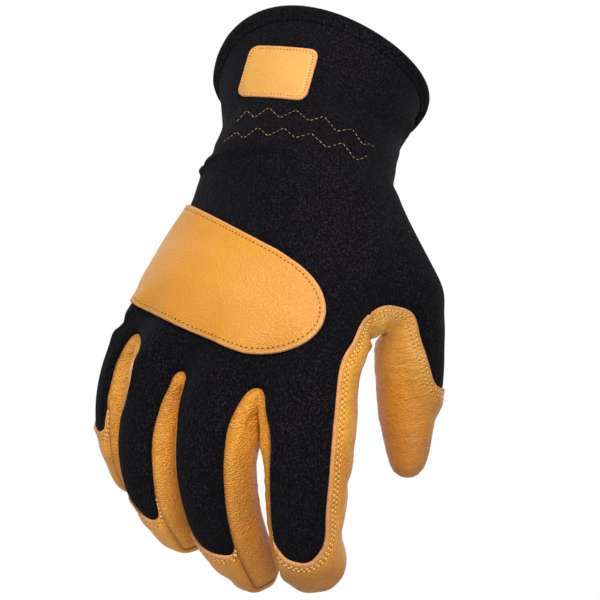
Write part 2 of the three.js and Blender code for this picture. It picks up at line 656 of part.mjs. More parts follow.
// A closed wall on the given faces, between two distances along the normals, drawn in a little at its
// edges.
function wallGeometry(points, normals, faces, outerOffset, innerOffset, gap = SEAM_GAP) {
  const edges = new Map();
  for (const { corners } of faces)
    for (let i = 0; i < 3; i++) {
      const [a, b] = [corners[i], corners[(i + 1) % 3]];
      edges.set(`${a},${b}`, [a, b]);
    }
  const border = [...edges.values()].filter(([a, b]) => !edges.has(`${b},${a}`));
  const inward = new Map();
  for (const [a, b] of border) {
    const run = points[b].clone().sub(points[a]).normalize();
    for (const id of [a, b]) {
      const turn = normals[id].clone().cross(run).normalize();
      if (inward.has(id)) inward.get(id).push(turn);
      else inward.set(id, [turn]);
    }
  }
  const slots = new Map();
  const positions = [];
  for (const { corners } of faces)
    for (const id of corners) {
      if (slots.has(id)) continue;
      slots.set(id, slots.size);
      const place = points[id].clone();
      if (inward.has(id)) {
        const turns = inward.get(id);
        const sum = turns.reduce((total, turn) => total.add(turn), new THREE.Vector3());
        const reach = Math.max(sum.length() / turns.length, SHARPEST_INSET);
        place.addScaledVector(sum.normalize(), gap / 2 / reach);
      }
      positions.push(place.clone().addScaledVector(normals[id], outerOffset));
      positions.push(place.addScaledVector(normals[id], innerOffset));
    }
  const outer = (id) => 2 * slots.get(id);
  const inner = (id) => 2 * slots.get(id) + 1;
  const index = [];
  for (const { corners } of faces) {
    index.push(...corners.map(outer));
    index.push(...corners.map(inner).reverse());
  }
  for (const [a, b] of border) index.push(outer(b), outer(a), inner(a), outer(b), inner(a), inner(b));
  const geometry = new THREE.BufferGeometry().setFromPoints(positions);
  geometry.setIndex(index);
  geometry.computeVertexNormals();
  return geometry;
}

// Outlines of the two pieces sewn on top of the knit, seen straight from the front. Above zero inside.
function tongueOutline(point) {
  const x = point.x - PATCH.x;
  const z = point.z - PATCH.z;
  const along = x * Math.cos(PATCH.slope) - z * Math.sin(PATCH.slope);
  const off = x * Math.sin(PATCH.slope) + z * Math.cos(PATCH.slope);
  const fromMiddle = off - PATCH.bend * Math.max(0, along - PATCH.bendFrom);
  const towardsEnd = (Math.max(0, along) * PATCH.halfWidth) / PATCH.end;
  return PATCH.halfWidth + PATCH.widening * Math.max(0, -along) - Math.hypot(towardsEnd, fromMiddle);
}

function labelOutline(point) {
  const up = point.z - LABEL.z + (point.x - LABEL.x) * LABEL.slope;
  const along = point.x - LABEL.x - up * LABEL.shear;
  const past = (value, half) => Math.max(Math.abs(value) - half + LABEL.corner, 0);
  return LABEL.corner - Math.hypot(past(along, LABEL.halfWidth), past(up, LABEL.halfHeight));
}

// A wall laid on the knit inside an outline, on triangles split in four as often as refinements says.
function sewnOn(outline, refinements, thickness) {
  const points = skin.points.map((point) => point.clone());
  const normals = skinNormals.map((normal) => normal.clone());
  const onKnit = skin.knit.map((knit) => KNIT_SCALE * (knit - PATCH_MARGIN));
  const NEAR = 12;
  let faces = skin.faces.filter(({ corners }) =>
    corners.some((id) => onKnit[id] > 0 && outline(points[id]) > -NEAR),
  );
  for (let i = 0; i < refinements; i++) faces = quarterFaces(points, normals, onKnit, faces);
  const field = points.map((point, id) => Math.min(outline(point), onKnit[id]));
  const cut = splitByField(points, normals, field, faces).filter((face) => face.inside);
  return wallGeometry(points, normals, cut, PATCH_LIFT + thickness, PATCH_LIFT);
}

// The rolled hem: a closed band round the rim, thicker than the knit that it turns over.
function hemGeometry(rings) {
  const HEM_SECTION = [
    { up: 0.06, out: 0.9 },
    { up: 0.45, out: 1.3 },
    { up: 0.85, out: 1 },
    { up: 1, out: -0.6 },
    { up: 0.85, out: -2.4 },
    { up: 0.45, out: -2.7 },
    { up: 0.06, out: -2.4 },
  ];
  const [rim, seam] = rings;
  const sides = HEM_SECTION.length;
  const positions = [];
  rim.forEach((top, i) => {
    const bottom = seam[i];
    const before = rim[(i + rim.length - 1) % rim.length];
    const after = rim[(i + 1) % rim.length];
    const run = after.clone().sub(before);
    const rise = top.clone().sub(bottom);
    const outward = run.clone().cross(rise).normalize();
    for (const { up, out } of HEM_SECTION)
      positions.push(bottom.clone().addScaledVector(rise, up).addScaledVector(outward, out));
  });
  const index = [];
  for (let i = 0; i < rim.length; i++)
    for (let s = 0; s < sides; s++) {
      const here = i * sides;
      const next = ((i + 1) % rim.length) * sides;
      const after = (s + 1) % sides;
      index.push(here + s, next + s, next + after, here + s, next + after, here + after);
    }
  const geometry = new THREE.BufferGeometry().setFromPoints(positions);
  geometry.setIndex(index);
  geometry.computeVertexNormals();
  return geometry;
}

// Build the skin.
const fingerRings = FINGERS_FROM_LITTLE.map(({ sections }) => fingerRing(sections[0]));
const hand = buildHand(fingerRings);
const webs = [0, 1, 2].map((finger) => buildWeb(hand, finger));
FINGERS_FROM_LITTLE.forEach((_, finger) => buildFinger(finger, hand, webs));
const thumbRoot = buildThumb(hand);
const thumbWeb = thumbRoot.slice(2 * SIDE_STEPS, 3 * SIDE_STEPS + 1);
relaxNear(thumbRoot, ROOT_SLACK, () => false);
relaxNear(thumbWeb, THUMB_WEB_SLACK, () => false);
for (const { ends, ...shift } of THUMB_WEB_SHIFTS)
  shiftNear(thumbWeb.slice(ends, thumbWeb.length - ends), shift, THUMB_WEB_SHARES);
relaxNear(webs.flat(), FINGER_WEB_SLACK, (id) => skin.knit[id] >= 0);
const skinNormals = pointNormals(skin.points, skin.faces);

const COLOURS = { knit: "#17151a", leather: "#d9963a", patch: "#e0a04a", label: "#e2a95c" };
const glove = new THREE.Group();

function addPiece(name, geometry, colour, roughness) {
  const material = new THREE.MeshStandardMaterial({ color: colour, roughness, metalness: 0 });
  const mesh = new THREE.Mesh(geometry, material);
  mesh.name = name;
  glove.add(mesh);
}

const patch = sewnOn(tongueOutline, 1, PATCH_THICKNESS);
const label = sewnOn(labelOutline, 2, LABEL_THICKNESS);
const cutFaces = splitByField(skin.points, skinNormals, skin.knit, skin.faces);
const pieces = new Map();
for (const face of cutFaces) {
  const name = face.inside ? "back_panel" : face.leatherPiece;
  if (!pieces.has(name)) pieces.set(name, []);
  pieces.get(name).push(face);
}
for (const [name, faces] of pieces) {
  const knit = name === "back_panel" || name === "cuff_underside";
  const sideStrip = name.startsWith("fourchette");
  const leatherThickness = sideStrip ? SIDE_STRIP_THICKNESS : LEATHER_THICKNESS;
  const thickness = knit ? KNIT_THICKNESS : leatherThickness;
  const gap = sideStrip || name === "thumb_panel" ? SIDE_STRIP_GAP : SEAM_GAP;
  const geometry = wallGeometry(skin.points, skinNormals, faces, 0, -thickness, gap);
  addPiece(name, geometry, knit ? COLOURS.knit : COLOURS.leather, knit ? 0.95 : 0.55);
}
addPiece("cuff_hem", hemGeometry(hand.rings), COLOURS.knit, 0.95);
addPiece("knuckle_patch", patch, COLOURS.patch, 0.5);
addPiece("cuff_label", label, COLOURS.label, 0.5);

export default glove;
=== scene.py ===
"""A right-hand slip-on work glove: knit back and cuff, leather palm, fingertips and thumb.

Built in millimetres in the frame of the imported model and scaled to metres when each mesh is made.
"""

import math
import random

import bpy
import numpy as np
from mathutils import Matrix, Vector, noise
from mathutils.bvhtree import BVHTree
from mathutils.kdtree import KDTree


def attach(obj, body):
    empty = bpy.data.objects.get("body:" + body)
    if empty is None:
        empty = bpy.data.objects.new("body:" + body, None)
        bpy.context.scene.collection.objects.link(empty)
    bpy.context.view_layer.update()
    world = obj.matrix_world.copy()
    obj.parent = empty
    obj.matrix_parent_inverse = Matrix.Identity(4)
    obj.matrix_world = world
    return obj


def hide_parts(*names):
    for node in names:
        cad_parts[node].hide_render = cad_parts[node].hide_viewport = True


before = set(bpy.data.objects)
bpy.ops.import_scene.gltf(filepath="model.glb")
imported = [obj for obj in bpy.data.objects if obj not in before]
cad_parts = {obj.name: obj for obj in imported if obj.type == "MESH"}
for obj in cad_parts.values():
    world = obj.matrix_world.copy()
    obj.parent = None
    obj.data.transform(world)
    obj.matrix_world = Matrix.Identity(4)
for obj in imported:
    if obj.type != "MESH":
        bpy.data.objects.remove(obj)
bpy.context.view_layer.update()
MM = 0.001
random.seed(7)

# The mesh of quads: columns across each finger's back and through the thickness of the hand.
FINGER_STEPS = 4
SIDE_STEPS = 4
FINGERS = 4
BACK_STEPS = FINGERS * FINGER_STEPS
HAND_RING = 2 * BACK_STEPS + 2 * SIDE_STEPS
FINGER_RING = 2 * FINGER_STEPS + 2 * SIDE_STEPS
SIDE_ANGLE = 25
STRIP_ANGLE = 48


def table(columns, *rows):
    return [dict(zip(columns.split(), row)) for row in rows]


def place_of(row, names="x y z"):
    return np.array([row[name] for name in names.split()])


# Sections of cuff and hand, from the rim to the finger roots, in millimetres and degrees.
HAND_SECTIONS = table(
    "x y z half_width half_depth lean roll cant cup arch thenar steps",
    (-0.4, 0, 0.8, 44.9, 33, 40, 0, 9, 0, 9.2, 0, 1),
    (-1.2, -4, -4, 42.1, 32, 40, 0, 8.5, 0, 8.5, 0, 1),
    (-2.5, -11, -12, 39.5, 29.5, 39, 2, 9, 0, 5, 0, 2),
    (-6, -24, -28, 36, 25, 38, 6, 11, 0, 0, 1, 1),
    (-9.9, -34, -39.5, 38.7, 24.5, 35, 10, 13, 2, 0, 5, 2),
    (-8.8, -43, -52, 46.8, 23, 32, 13, 25, 5, 0, 12, 1),
    (-11.1, -50, -65, 52.7, 21.5, 31, 15, 31, 9, 0, 17, 2),
    (-18.4, -60, -82, 58.2, 19.5, 30, 16, 32, 13, 0, 16, 1),
    (-25.2, -64, -86.7, 54.8, 18, 28, 17, 32, 15, 0, 11, 2),
    (-31.2, -69, -93, 53.6, 16, 22, 20, 25.6, 17, 0, 4, 2),
)
ARCH_SKEW = 1.2
PALMWARD = np.array([0, 0.99, 0.15])
THENAR_ANGLE = 38
THENAR_SPREAD = 50
HEM_ROW = 1
WRIST_ROW = 4
THUMB_TOP_ROW = 6
THUMB_WEB_ROW = THUMB_TOP_ROW + SIDE_STEPS
WEB_LEATHER = 0.3
# How far the knit back reaches round the two sides of the cuff, in quads.
CUFF_THUMB_SIDE, CUFF_LITTLE_SIDE = 3.9, 3


def finger_shape(name, strip_end, *rows):
    """Sections of a finger, from the web to the ring that carries the tip's dome.

    strip_end is the row where the knit strip on the finger's back ends.
    """
    sections = table("x y z half_width half_depth turn bend steps", *rows)
    return {"name": name, "strip_end": strip_end, "sections": sections}


FINGERS_FROM_LITTLE = [
    finger_shape(
        "little", 5.2,
        (-67.8, -42, -97, 10.5, 12, 62, -10, 2),
        (-73.6, -36.5, -112, 12, 12, 76, -2, 2),
        (-76.6, -38, -127, 11.6, 11.6, 78, 14, 2),
        (-76.8, -35, -142, 11, 11, 78, 30, 2),
        (-74.3, -26.5, -155.5, 9.6, 9.2, 76, 42, 0),
    ),
    finger_shape(
        "ring", 6.5,
        (-58.5, -61, -110, 12.5, 13.2, 43, -10, 2),
        (-61.5, -60.5, -126, 14.2, 13.2, 48, 0, 2),
        (-63.5, -60, -143, 13.8, 12.8, 48, 14, 2),
        (-61.2, -54, -160, 12.8, 12.2, 48, 30, 2),
        (-54.5, -44, -174.5, 11.8, 10.8, 46, 42, 0),
    ),
    finger_shape(
        "middle", 6.7,
        (-35.5, -78, -117.5, 14.4, 13.6, 30, -10, 2),
        (-38.5, -80, -132, 15.4, 13.6, 35, 0, 2),
        (-39.2, -78.5, -150, 15, 13.4, 37, 14, 2),
        (-35.8, -72, -169, 14.2, 12.8, 38, 28, 2),
        (-28.6, -61, -186, 12.4, 11.4, 38, 40, 0),
    ),
    finger_shape(
        "index", 6.9,
        (-5, -88.5, -119, 16.6, 14, 16, -10, 2),
        (-5.6, -91, -133, 16.4, 14, 20, 0, 2),
        (-6.4, -90, -150, 15.3, 13.8, 20, 12, 2),
        (-6.8, -84.5, -168, 13.8, 12.8, 20, 26, 2),
        (-5, -75.5, -183.5, 12.8, 11.6, 20, 38, 0),
    ),
]
# The dome of a fingertip: its height in mean radii, and how wide its inner points stand.
DOME_SHARE, DOME_REACH = 0.78, 0.92
THUMB_SECTIONS = table(
    "x y z half_width half_depth tilt wing_middle wing_half steps",
    (33, -54, -93, 14.6, 16, 30, 2.5, 3.7, 2),
    (32.6, -48, -106, 13.7, 14.6, 12, 2, 3.35, 2),
    (33, -43, -119, 13, 13.6, 4, 2, 2.4, 2),
    (32.8, -40, -133, 11.4, 12.4, 0, 2, -4, 2),
    (32.3, -40, -149, 7.6, 9.4, -4, 2, -6, 0),
)
THUMB_ROOT_STEPS = 3
STRIP_ROUNDING = 1.4
SIDE_STRIP_ROWS = 8
WEB_DIP = 3
CROTCH_SHIFTS = table("x y z", (1.1, 0, 1.1), (2.2, 0, -1.1), (1.1, 0, -1.8))
ROOT_SLACK = ((0.5, 0.4, 0.2), 3)
THUMB_WEB_SLACK = ((0.7, 0.6, 0.4, 0.2), 9)
FINGER_WEB_SLACK = ((0.7, 0.5, 0.3), 4)
THUMB_WEB_SHIFTS = table("ends x y z", (0, -3.4, 0, 0), (1, -0.8, 0, -1.6))
THUMB_WEB_SHARES = (1, 0.4, 0.15)


def section_frame(lean=0, roll=0, cant=0):
    tip, turn, slope = np.radians([lean, roll, cant])
    side = np.array([1.0, 0, 0])
    out = np.array([0, -math.cos(tip), math.sin(tip)])
    down = np.array([0, -math.sin(tip), -math.cos(tip)])
    width = side * math.cos(turn) + out * math.sin(turn)
    back = out * math.cos(turn) - side * math.sin(turn)
    canted = width * math.cos(slope) + down * math.sin(slope)
    along = down * math.cos(slope) - width * math.sin(slope)
    return canted, back, along


def ring_angles(back_steps, side_angle):
    flat = 180 - 2 * side_angle
    back = [180 - side_angle - flat * i / back_steps for i in range(back_steps)]
    near = [side_angle - 2 * side_angle * i / SIDE_STEPS for i in range(SIDE_STEPS)]
    front = [-side_angle - flat * i / back_steps for i in range(back_steps)]
    far = [side_angle - 180 - 2 * side_angle * i / SIDE_STEPS for i in range(SIDE_STEPS)]
    return np.radians(back + near + front + far)


def hand_ring(section):
    width, back, along = section_frame(section["lean"], section["roll"], section["cant"])
    angle = ring_angles(BACK_STEPS, SIDE_ANGLE)
    across, out = np.cos(angle), np.sin(angle)
    bent = section["cup"] * np.maximum(0, -across) ** 2
    raised = section["arch"] * np.maximum(0, out) * (1 - ARCH_SKEW * across)
    from_thenar = np.clip((np.degrees(angle) + THENAR_ANGLE) / THENAR_SPREAD, -1, 1)
    padded = section["thenar"] * np.cos(from_thenar * math.pi / 2) ** 2
    return (
        place_of(section)
        + np.outer(section["half_width"] * across, width)
        + np.outer(section["half_depth"] * out - bent, back)
        + np.outer(padded, PALMWARD)
        - np.outer(raised, along)
    )


def oval(section, angle, width, back):
    return (
        place_of(section)
        + np.outer(section["half_width"] * np.cos(angle), width)
        + np.outer(section["half_depth"] * np.sin(angle), back)
    )


def finger_ring(section):
    width, back, _ = section_frame(-section["bend"], section["turn"])
    return oval(section, ring_angles(FINGER_STEPS, 90 - STRIP_ANGLE), width, back)


def thumb_ring(section):
    tilt = math.radians(section["tilt"])
    outer = np.array([math.cos(tilt), 0, math.sin(tilt)])
    angle = np.radians(-45 + 360 * np.arange(FINGER_RING) / FINGER_RING)
    return oval(section, angle, outer, np.array([0, -1.0, 0]))


def smooth_rings(keys, steps):
    """Rings between the given ones, on a smooth curve through matching points."""
    keys = [np.asarray(key, float) for key in keys]
    middles = [key.mean(0) for key in keys]
    place = [0.0]
    for k in range(1, len(keys)):
        place.append(place[-1] + np.linalg.norm(middles[k] - middles[k - 1]))

    def rise(a, b):
        return (keys[b] - keys[a]) / (place[b] - place[a])

    def slope(k):
        before, after = max(k - 1, 0), min(k + 1, len(keys) - 1)
        if before == k or after == k:
            return rise(before, after)
        left, right = place[k] - place[before], place[after] - place[k]
        return (rise(before, k) * right + rise(k, after) * left) / (left + right)

    rings = []
    for k in range(len(keys) - 1):
        span = place[k + 1] - place[k]
        for s in range(steps[k]):
            t = s / steps[k]
            rings.append(
                keys[k] * (2 * t**3 - 3 * t**2 + 1)
                + keys[k + 1] * (3 * t**2 - 2 * t**3)
                + slope(k) * (t**3 - 2 * t**2 + t) * span
                + slope(k + 1) * (t**3 - t**2) * span
            )
    rings.append(keys[-1])
    return rings


def spread_column(sections, name, first):
    values = [first] + [section[name] for section in sections]
    steps = [THUMB_ROOT_STEPS] + [section["steps"] for section in sections]
    spread = []
    for k in range(len(values) - 1):
        spread += [values[k] + (values[k + 1] - values[k]) * s / steps[k] for s in range(steps[k])]
    return spread + [values[-1]]


class Skin:
    """All quads of the glove's surface. knit is above zero where a point lies on the knit back."""

    def __init__(self):
        self.points, self.knit, self.links = [], [], []
        self.quads, self.tags = [], []

    def add_point(self, point, knit):
        self.points.append(np.asarray(point, float))
        self.knit.append(knit)
        self.links.append(set())
        return len(self.points) - 1

    def add_quad(self, corners, tag, flip=False):
        for a, b in zip(corners, corners[1:] + corners[:1]):
            self.links[a].add(b)
            self.links[b].add(a)
        self.quads.append(corners[::-1] if flip else corners)
        self.tags.append(tag)

    def add_between(self, ids, row, i, tag, flip=False):
        """The quad between points i and i + 1 of a row and of the next row."""
        after = (i + 1) % len(ids[row])
        self.add_quad([ids[row][i], ids[row + 1][i], ids[row + 1][after], ids[row][after]], tag, flip)

    def links_away(self, seeds, reach):
        steps = {seed: 0 for seed in seeds}
        queue = list(steps)
        for here in queue:
            if steps[here] + 1 == reach:
                continue
            for other in self.links[here]:
                if other not in steps:
                    steps[other] = steps[here] + 1
                    queue.append(other)
        return steps

    def shift_near(self, seeds, shift, shares):
        for here, step in self.links_away(seeds, len(shares)).items():
            self.points[here] = self.points[here] + shift * shares[step]

    def relax_near(self, seeds, slack, pinned):
        shares, rounds = slack
        steps = self.links_away(seeds, len(shares))
        for _ in range(rounds):
            moved = {}
            for here in steps:
                if pinned(here):
                    continue
                around = np.mean([self.points[other] for other in self.links[here]], axis=0)
                moved[here] = self.points[here] + (around - self.points[here]) * shares[steps[here]]
            for here, place in moved.items():
                self.points[here] = place


skin = Skin()


def strip_knit(column, row, strip_end):
    if column > FINGER_STEPS:
        return -1
    inside = 1 - abs(1 - 2 * min(column, FINGER_STEPS - column) / FINGER_STEPS) ** 3
    return inside - max(0, (row - strip_end + STRIP_ROUNDING) / STRIP_ROUNDING) ** 3


def hand_knit(row, i, web_row):
    """How far a point of the hand lies inside the knit back, in quads."""
    hand_share = min(max((row - WRIST_ROW) / (web_row - WRIST_ROW), 0), 1)
    thumb_share = min(max((row - WRIST_ROW) / (THUMB_TOP_ROW - WRIST_ROW), 0), 1)
    little_edge = CUFF_LITTLE_SIDE * (1 - hand_share**2)
    if row <= THUMB_TOP_ROW:
        thumb_edge = CUFF_THUMB_SIDE + (SIDE_STEPS - CUFF_THUMB_SIDE) * thumb_share
    else:
        thumb_edge = max(0, (THUMB_WEB_ROW - row) / SIDE_STEPS)
        thumb_edge -= WEB_LEATHER if row == THUMB_WEB_ROW + 1 else 0
    past_thumb_edge = i - BACK_STEPS
    past_little_edge = HAND_RING - i
    if i <= BACK_STEPS:
        if row == web_row:
            return strip_knit(i % FINGER_STEPS, 0, FINGER_RING)
        return min(i + little_edge, thumb_edge - past_thumb_edge)
    if past_thumb_edge <= SIDE_STEPS:
        return thumb_edge - past_thumb_edge
    if past_little_edge <= SIDE_STEPS:
        return little_edge - past_little_edge
    return -1


def add_dome(ring, outward, height, tag, flip):
    size = FINGER_STEPS

    def rim(row, column):
        if row == 0:
            return column
        if column == size:
            return size + row
        if row == size:
            return 3 * size - column
        return (FINGER_RING - row) % FINGER_RING

    middle = np.mean([skin.points[i] for i in ring], axis=0)
    grid = []
    for row in range(size + 1):
        grid.append([])
        for column in range(size + 1):
            across, deep = 2 * column / size - 1, 2 * row / size - 1
            share = max(abs(across), abs(deep))
            if share == 1:
                grid[row].append(ring[rim(row, column)])
                continue
            edge_row = round((deep / share + 1) * size / 2) if share else 0
            edge_column = round((across / share + 1) * size / 2) if share else 0
            edge = skin.points[ring[rim(edge_row, edge_column)]]
            reach = math.sin(share * math.pi / 2) * DOME_REACH if share else 0
            point = middle + (edge - middle) * reach + outward * height * math.cos(share * math.pi / 2)
            grid[row].append(skin.add_point(point, -1))
    for row in range(size):
        for column in range(size):
            skin.add_between(grid, row, column, tag, flip)


def web_ring(rings):
    near_back, far_back = FINGER_STEPS, 0
    near_front, far_front = FINGER_STEPS + SIDE_STEPS, 2 * FINGER_STEPS + SIDE_STEPS

    def meet(finger, near, far):
        return (rings[finger][near] + rings[finger + 1][far]) / 2 + place_of(CROTCH_SHIFTS[finger])

    ring = []
    for finger in range(FINGERS):
        for column in range(FINGER_STEPS):
            own = column or not finger
            ring.append(rings[finger][column] if own else meet(finger - 1, near_back, far_back))
    ring += [rings[-1][column] for column in range(FINGER_STEPS, near_front)]
    for finger in range(FINGERS - 1, -1, -1):
        for column in range(FINGER_STEPS):
            own = column or finger == FINGERS - 1
            ring.append(rings[finger][near_front + column] if own else meet(finger, near_front, far_front))
    ring += [rings[0][column] for column in range(far_front, FINGER_RING)]
    return np.array(ring)


def build_hand(finger_rings):
    keys = [hand_ring(section) for section in HAND_SECTIONS] + [web_ring(finger_rings)]
    rings = smooth_rings(keys, [section["steps"] for section in HAND_SECTIONS])
    web_row = len(rings) - 1
    ids = []
    for row, ring in enumerate(rings):
        ids.append([])
        for i, point in enumerate(ring):
            beside = THUMB_TOP_ROW < row < THUMB_WEB_ROW and BACK_STEPS < i < BACK_STEPS + SIDE_STEPS
            hidden = beside or row < HEM_ROW
            ids[row].append(-1 if hidden else skin.add_point(point, hand_knit(row, i, web_row)))
    for row in range(HEM_ROW, web_row):
        for i in range(HAND_RING):
            if THUMB_TOP_ROW <= row < THUMB_WEB_ROW and BACK_STEPS <= i < BACK_STEPS + SIDE_STEPS:
                continue
            tag = "underside" if row < WRIST_ROW else "palm"
            crotch = (i + 1) // FINGER_STEPS
            beside_crotch = (i + 1) % FINGER_STEPS < 2 and 0 < crotch < FINGERS
            if row == web_row - 1 and beside_crotch:
                tag = web_tag(crotch - 1)
            skin.add_between(ids, row, i, tag)
    return rings, ids, web_row


def web_tag(finger):
    return FINGERS_FROM_LITTLE[finger]["name"] + "_" + FINGERS_FROM_LITTLE[finger + 1]["name"]


def build_web(ids, web_row, finger):
    column = (finger + 1) * FINGER_STEPS
    back, front = ids[web_row][column], ids[web_row][2 * BACK_STEPS + SIDE_STEPS - column]
    web = [back]
    for i in range(1, SIDE_STEPS):
        t = i / SIDE_STEPS
        point = skin.points[back] * (1 - t) + skin.points[front] * t
        point[2] -= WEB_DIP * 4 * t * (1 - t)
        web.append(skin.add_point(point, -1))
    return web + [front]


def build_finger(finger, ids, web_row, webs):
    row_ids = ids[web_row]
    last = FINGERS - 1
    back_start = finger * FINGER_STEPS
    front_start = 2 * BACK_STEPS + SIDE_STEPS - back_start - FINGER_STEPS
    base = [row_ids[back_start + i] for i in range(FINGER_STEPS)]
    base += [webs[finger][i] if finger < last else row_ids[BACK_STEPS + i] for i in range(SIDE_STEPS)]
    base += [row_ids[front_start + i] for i in range(FINGER_STEPS)]
    for i in range(SIDE_STEPS):
        far = webs[finger - 1][SIDE_STEPS - i] if finger > 0 else row_ids[HAND_RING - SIDE_STEPS + i]
        base.append(far)
    sections = FINGERS_FROM_LITTLE[finger]["sections"]
    keys = [[skin.points[i] for i in base]] + [finger_ring(section) for section in sections[1:]]
    rings = smooth_rings(keys, [section["steps"] for section in sections])
    strip_end = FINGERS_FROM_LITTLE[finger]["strip_end"]
    ring_ids = [base]
    for row in range(1, len(rings)):
        ring = enumerate(rings[row])
        ring_ids.append([skin.add_point(point, strip_knit(i, row, strip_end)) for i, point in ring])
    sides = [web_tag(finger) if finger < last else "palm", web_tag(finger - 1) if finger > 0 else "palm"]
    for row in range(len(rings) - 1):
        for i in range(FINGER_RING):
            face = i // FINGER_STEPS
            tag = sides[(face - 1) // 2] if face % 2 and row < SIDE_STRIP_ROWS else "palm"
            if row < strip_end - 2 and i in (0, FINGER_STEPS - 1):
                tag = sides[0] if i else sides[1]
            skin.add_between(ring_ids, row, i, tag)
    end = sections[-1]
    along = section_frame(-end["bend"], end["turn"])[2]
    height = DOME_SHARE * (end["half_width"] + end["half_depth"]) / 2
    add_dome(ring_ids[-1], along, height, "palm", False)


def build_thumb(ids):
    thumb_column = BACK_STEPS + SIDE_STEPS
    base = [ids[THUMB_TOP_ROW][thumb_column - i] for i in range(SIDE_STEPS)]
    base += [ids[THUMB_TOP_ROW + i][BACK_STEPS] for i in range(SIDE_STEPS)]
    base += [ids[THUMB_WEB_ROW][BACK_STEPS + i] for i in range(SIDE_STEPS)]
    base += [ids[THUMB_WEB_ROW - i][thumb_column] for i in range(SIDE_STEPS)]
    keys = [[skin.points[i] for i in base]] + [thumb_ring(section) for section in THUMB_SECTIONS]
    rings = smooth_rings(keys, [THUMB_ROOT_STEPS] + [section["steps"] for section in THUMB_SECTIONS])
    middle = spread_column(THUMB_SECTIONS, "wing_middle", SIDE_STEPS)
    half = spread_column(THUMB_SECTIONS, "wing_half", SIDE_STEPS)
    ring_ids = [base]
    for row in range(1, len(rings)):
        ring_ids.append([])
        for i, point in enumerate(rings[row]):
            apart = abs(i - middle[row])
            ring_ids[row].append(skin.add_point(point, half[row] - min(apart, FINGER_RING - apart)))
    for row in range(len(rings) - 1):
        for i in range(FINGER_RING):
            skin.add_between(ring_ids, row, i, "thumb", True)
    end = THUMB_SECTIONS[-1]
    tilt = math.radians(end["tilt"])
    outward = np.array([math.sin(tilt), 0, -math.cos(tilt)])
    add_dome(ring_ids[-1], outward, DOME_SHARE * end["half_depth"], "thumb", True)
    return base


first_rings = [finger_ring(part["sections"][0]) for part in FINGERS_FROM_LITTLE]
hand_rings, hand_ids, WEB_ROW = build_hand(first_rings)
webs = [build_web(hand_ids, WEB_ROW, finger) for finger in range(FINGERS - 1)]
for finger in range(FINGERS):
    build_finger(finger, hand_ids, WEB_ROW, webs)
thumb_root = build_thumb(hand_ids)
thumb_web = thumb_root[2 * SIDE_STEPS : 3 * SIDE_STEPS + 1]
skin.relax_near(thumb_root, ROOT_SLACK, lambda i: False)
skin.relax_near(thumb_web, THUMB_WEB_SLACK, lambda i: False)
for row in THUMB_WEB_SHIFTS:
    moved = thumb_web[row["ends"] : len(thumb_web) - row["ends"]]
    skin.shift_near(moved, place_of(row), THUMB_WEB_SHARES)
skin.relax_near([i for web in webs for i in web], FINGER_WEB_SLACK, lambda i: skin.knit[i] >= 0)


def neighbour_sums(values, quads):
    """Sums over each point's edge neighbours and quad diagonals, its quad count and its open edges."""
    count = len(values)
    ends = np.stack([quads, np.roll(quads, -1, 1)], 2).reshape(-1, 2)
    pairs, where, uses = np.unique(
        np.sort(ends, 1) @ np.array([count, 1]), return_inverse=True, return_counts=True
    )
    edges = np.stack([pairs // count, pairs % count], 1)
    near, across, rim = (np.zeros_like(values) for _ in range(3))
    open_edges = edges[uses == 1]
    for here, other in ((0, 1), (1, 0)):
        np.add.at(near, edges[:, here], values[edges[:, other]])
        np.add.at(rim, open_edges[:, here], values[open_edges[:, other]])
    for corner in range(4):
        np.add.at(across, quads[:, corner], values[quads[:, (corner + 2) % 4]])
    on_rim = np.zeros(count, bool)
    on_rim[open_edges.ravel()] = True
    quad_count = np.bincount(quads.ravel(), minlength=count)[:, None]
    return near, across, rim, on_rim[:, None], quad_count, edges, where, uses


def limit_values(values, quads):
    """Where endless refinement would bring each point."""
    near, across, rim, on_rim, n, *_ = neighbour_sums(values, quads)
    inside = (n * n * values + 4 * near + across) / (n * (n + 5))
    return np.where(on_rim, (rim + 4 * values) / 6, inside)


def refine(values, quads):
    """One Catmull-Clark step. The children of a quad follow each other in the new list."""
    near, _, rim, on_rim, n, edges, where, uses = neighbour_sums(values, quads)
    count = len(values)
    faces = values[quads].mean(1)
    face_sum = np.zeros((len(edges), values.shape[1]))
    np.add.at(face_sum, where, np.repeat(faces, 4, 0))
    middles = values[edges].mean(1)
    inner_edges = (middles * 2 + face_sum) / 4
    edge_values = np.where((uses == 1)[:, None], middles, inner_edges)
    faces_near = np.zeros_like(values)
    for corner in range(4):
        np.add.at(faces_near, quads[:, corner], faces)
    moved = (faces_near / n + (near + n * values) / n + (n - 3) * values) / n
    point_values = np.where(on_rim, (rim + 6 * values) / 8, moved)
    edge_ids = count + where.reshape(-1, 4)
    face_ids = count + len(edges) + np.arange(len(quads))
    children = [
        np.stack([quads[:, k], edge_ids[:, k], face_ids, edge_ids[:, (k + 3) % 4]], 1) for k in range(4)
    ]
    return np.concatenate([point_values, edge_values, faces]), np.stack(children, 1).reshape(-1, 4)


def through_points(values, quads, rounds=8):
    """Control values whose endless refinement passes through the given ones."""
    control = values.copy()
    for _ in range(rounds):
        control += values - limit_values(control, quads)
    return control


def unit(vectors):
    return vectors / np.maximum(np.linalg.norm(vectors, axis=-1, keepdims=True), 1e-9)


def point_normals(points, triangles):
    a, b, c = (points[triangles[:, k]] for k in range(3))
    across = np.cross(b - a, c - a)
    normals = np.zeros_like(points)
    for k in range(3):
        np.add.at(normals, triangles[:, k], across)
    return unit(normals)


def smooth_step(low, high, value):
    t = np.clip((value - low) / (high - low), 0, 1)
    return t * t * (3 - 2 * t)


def bell(away, reach, power=2):
    """One in the middle and falling off evenly, to 0.37 at the reach."""
    return np.exp(-((away / reach) ** power))


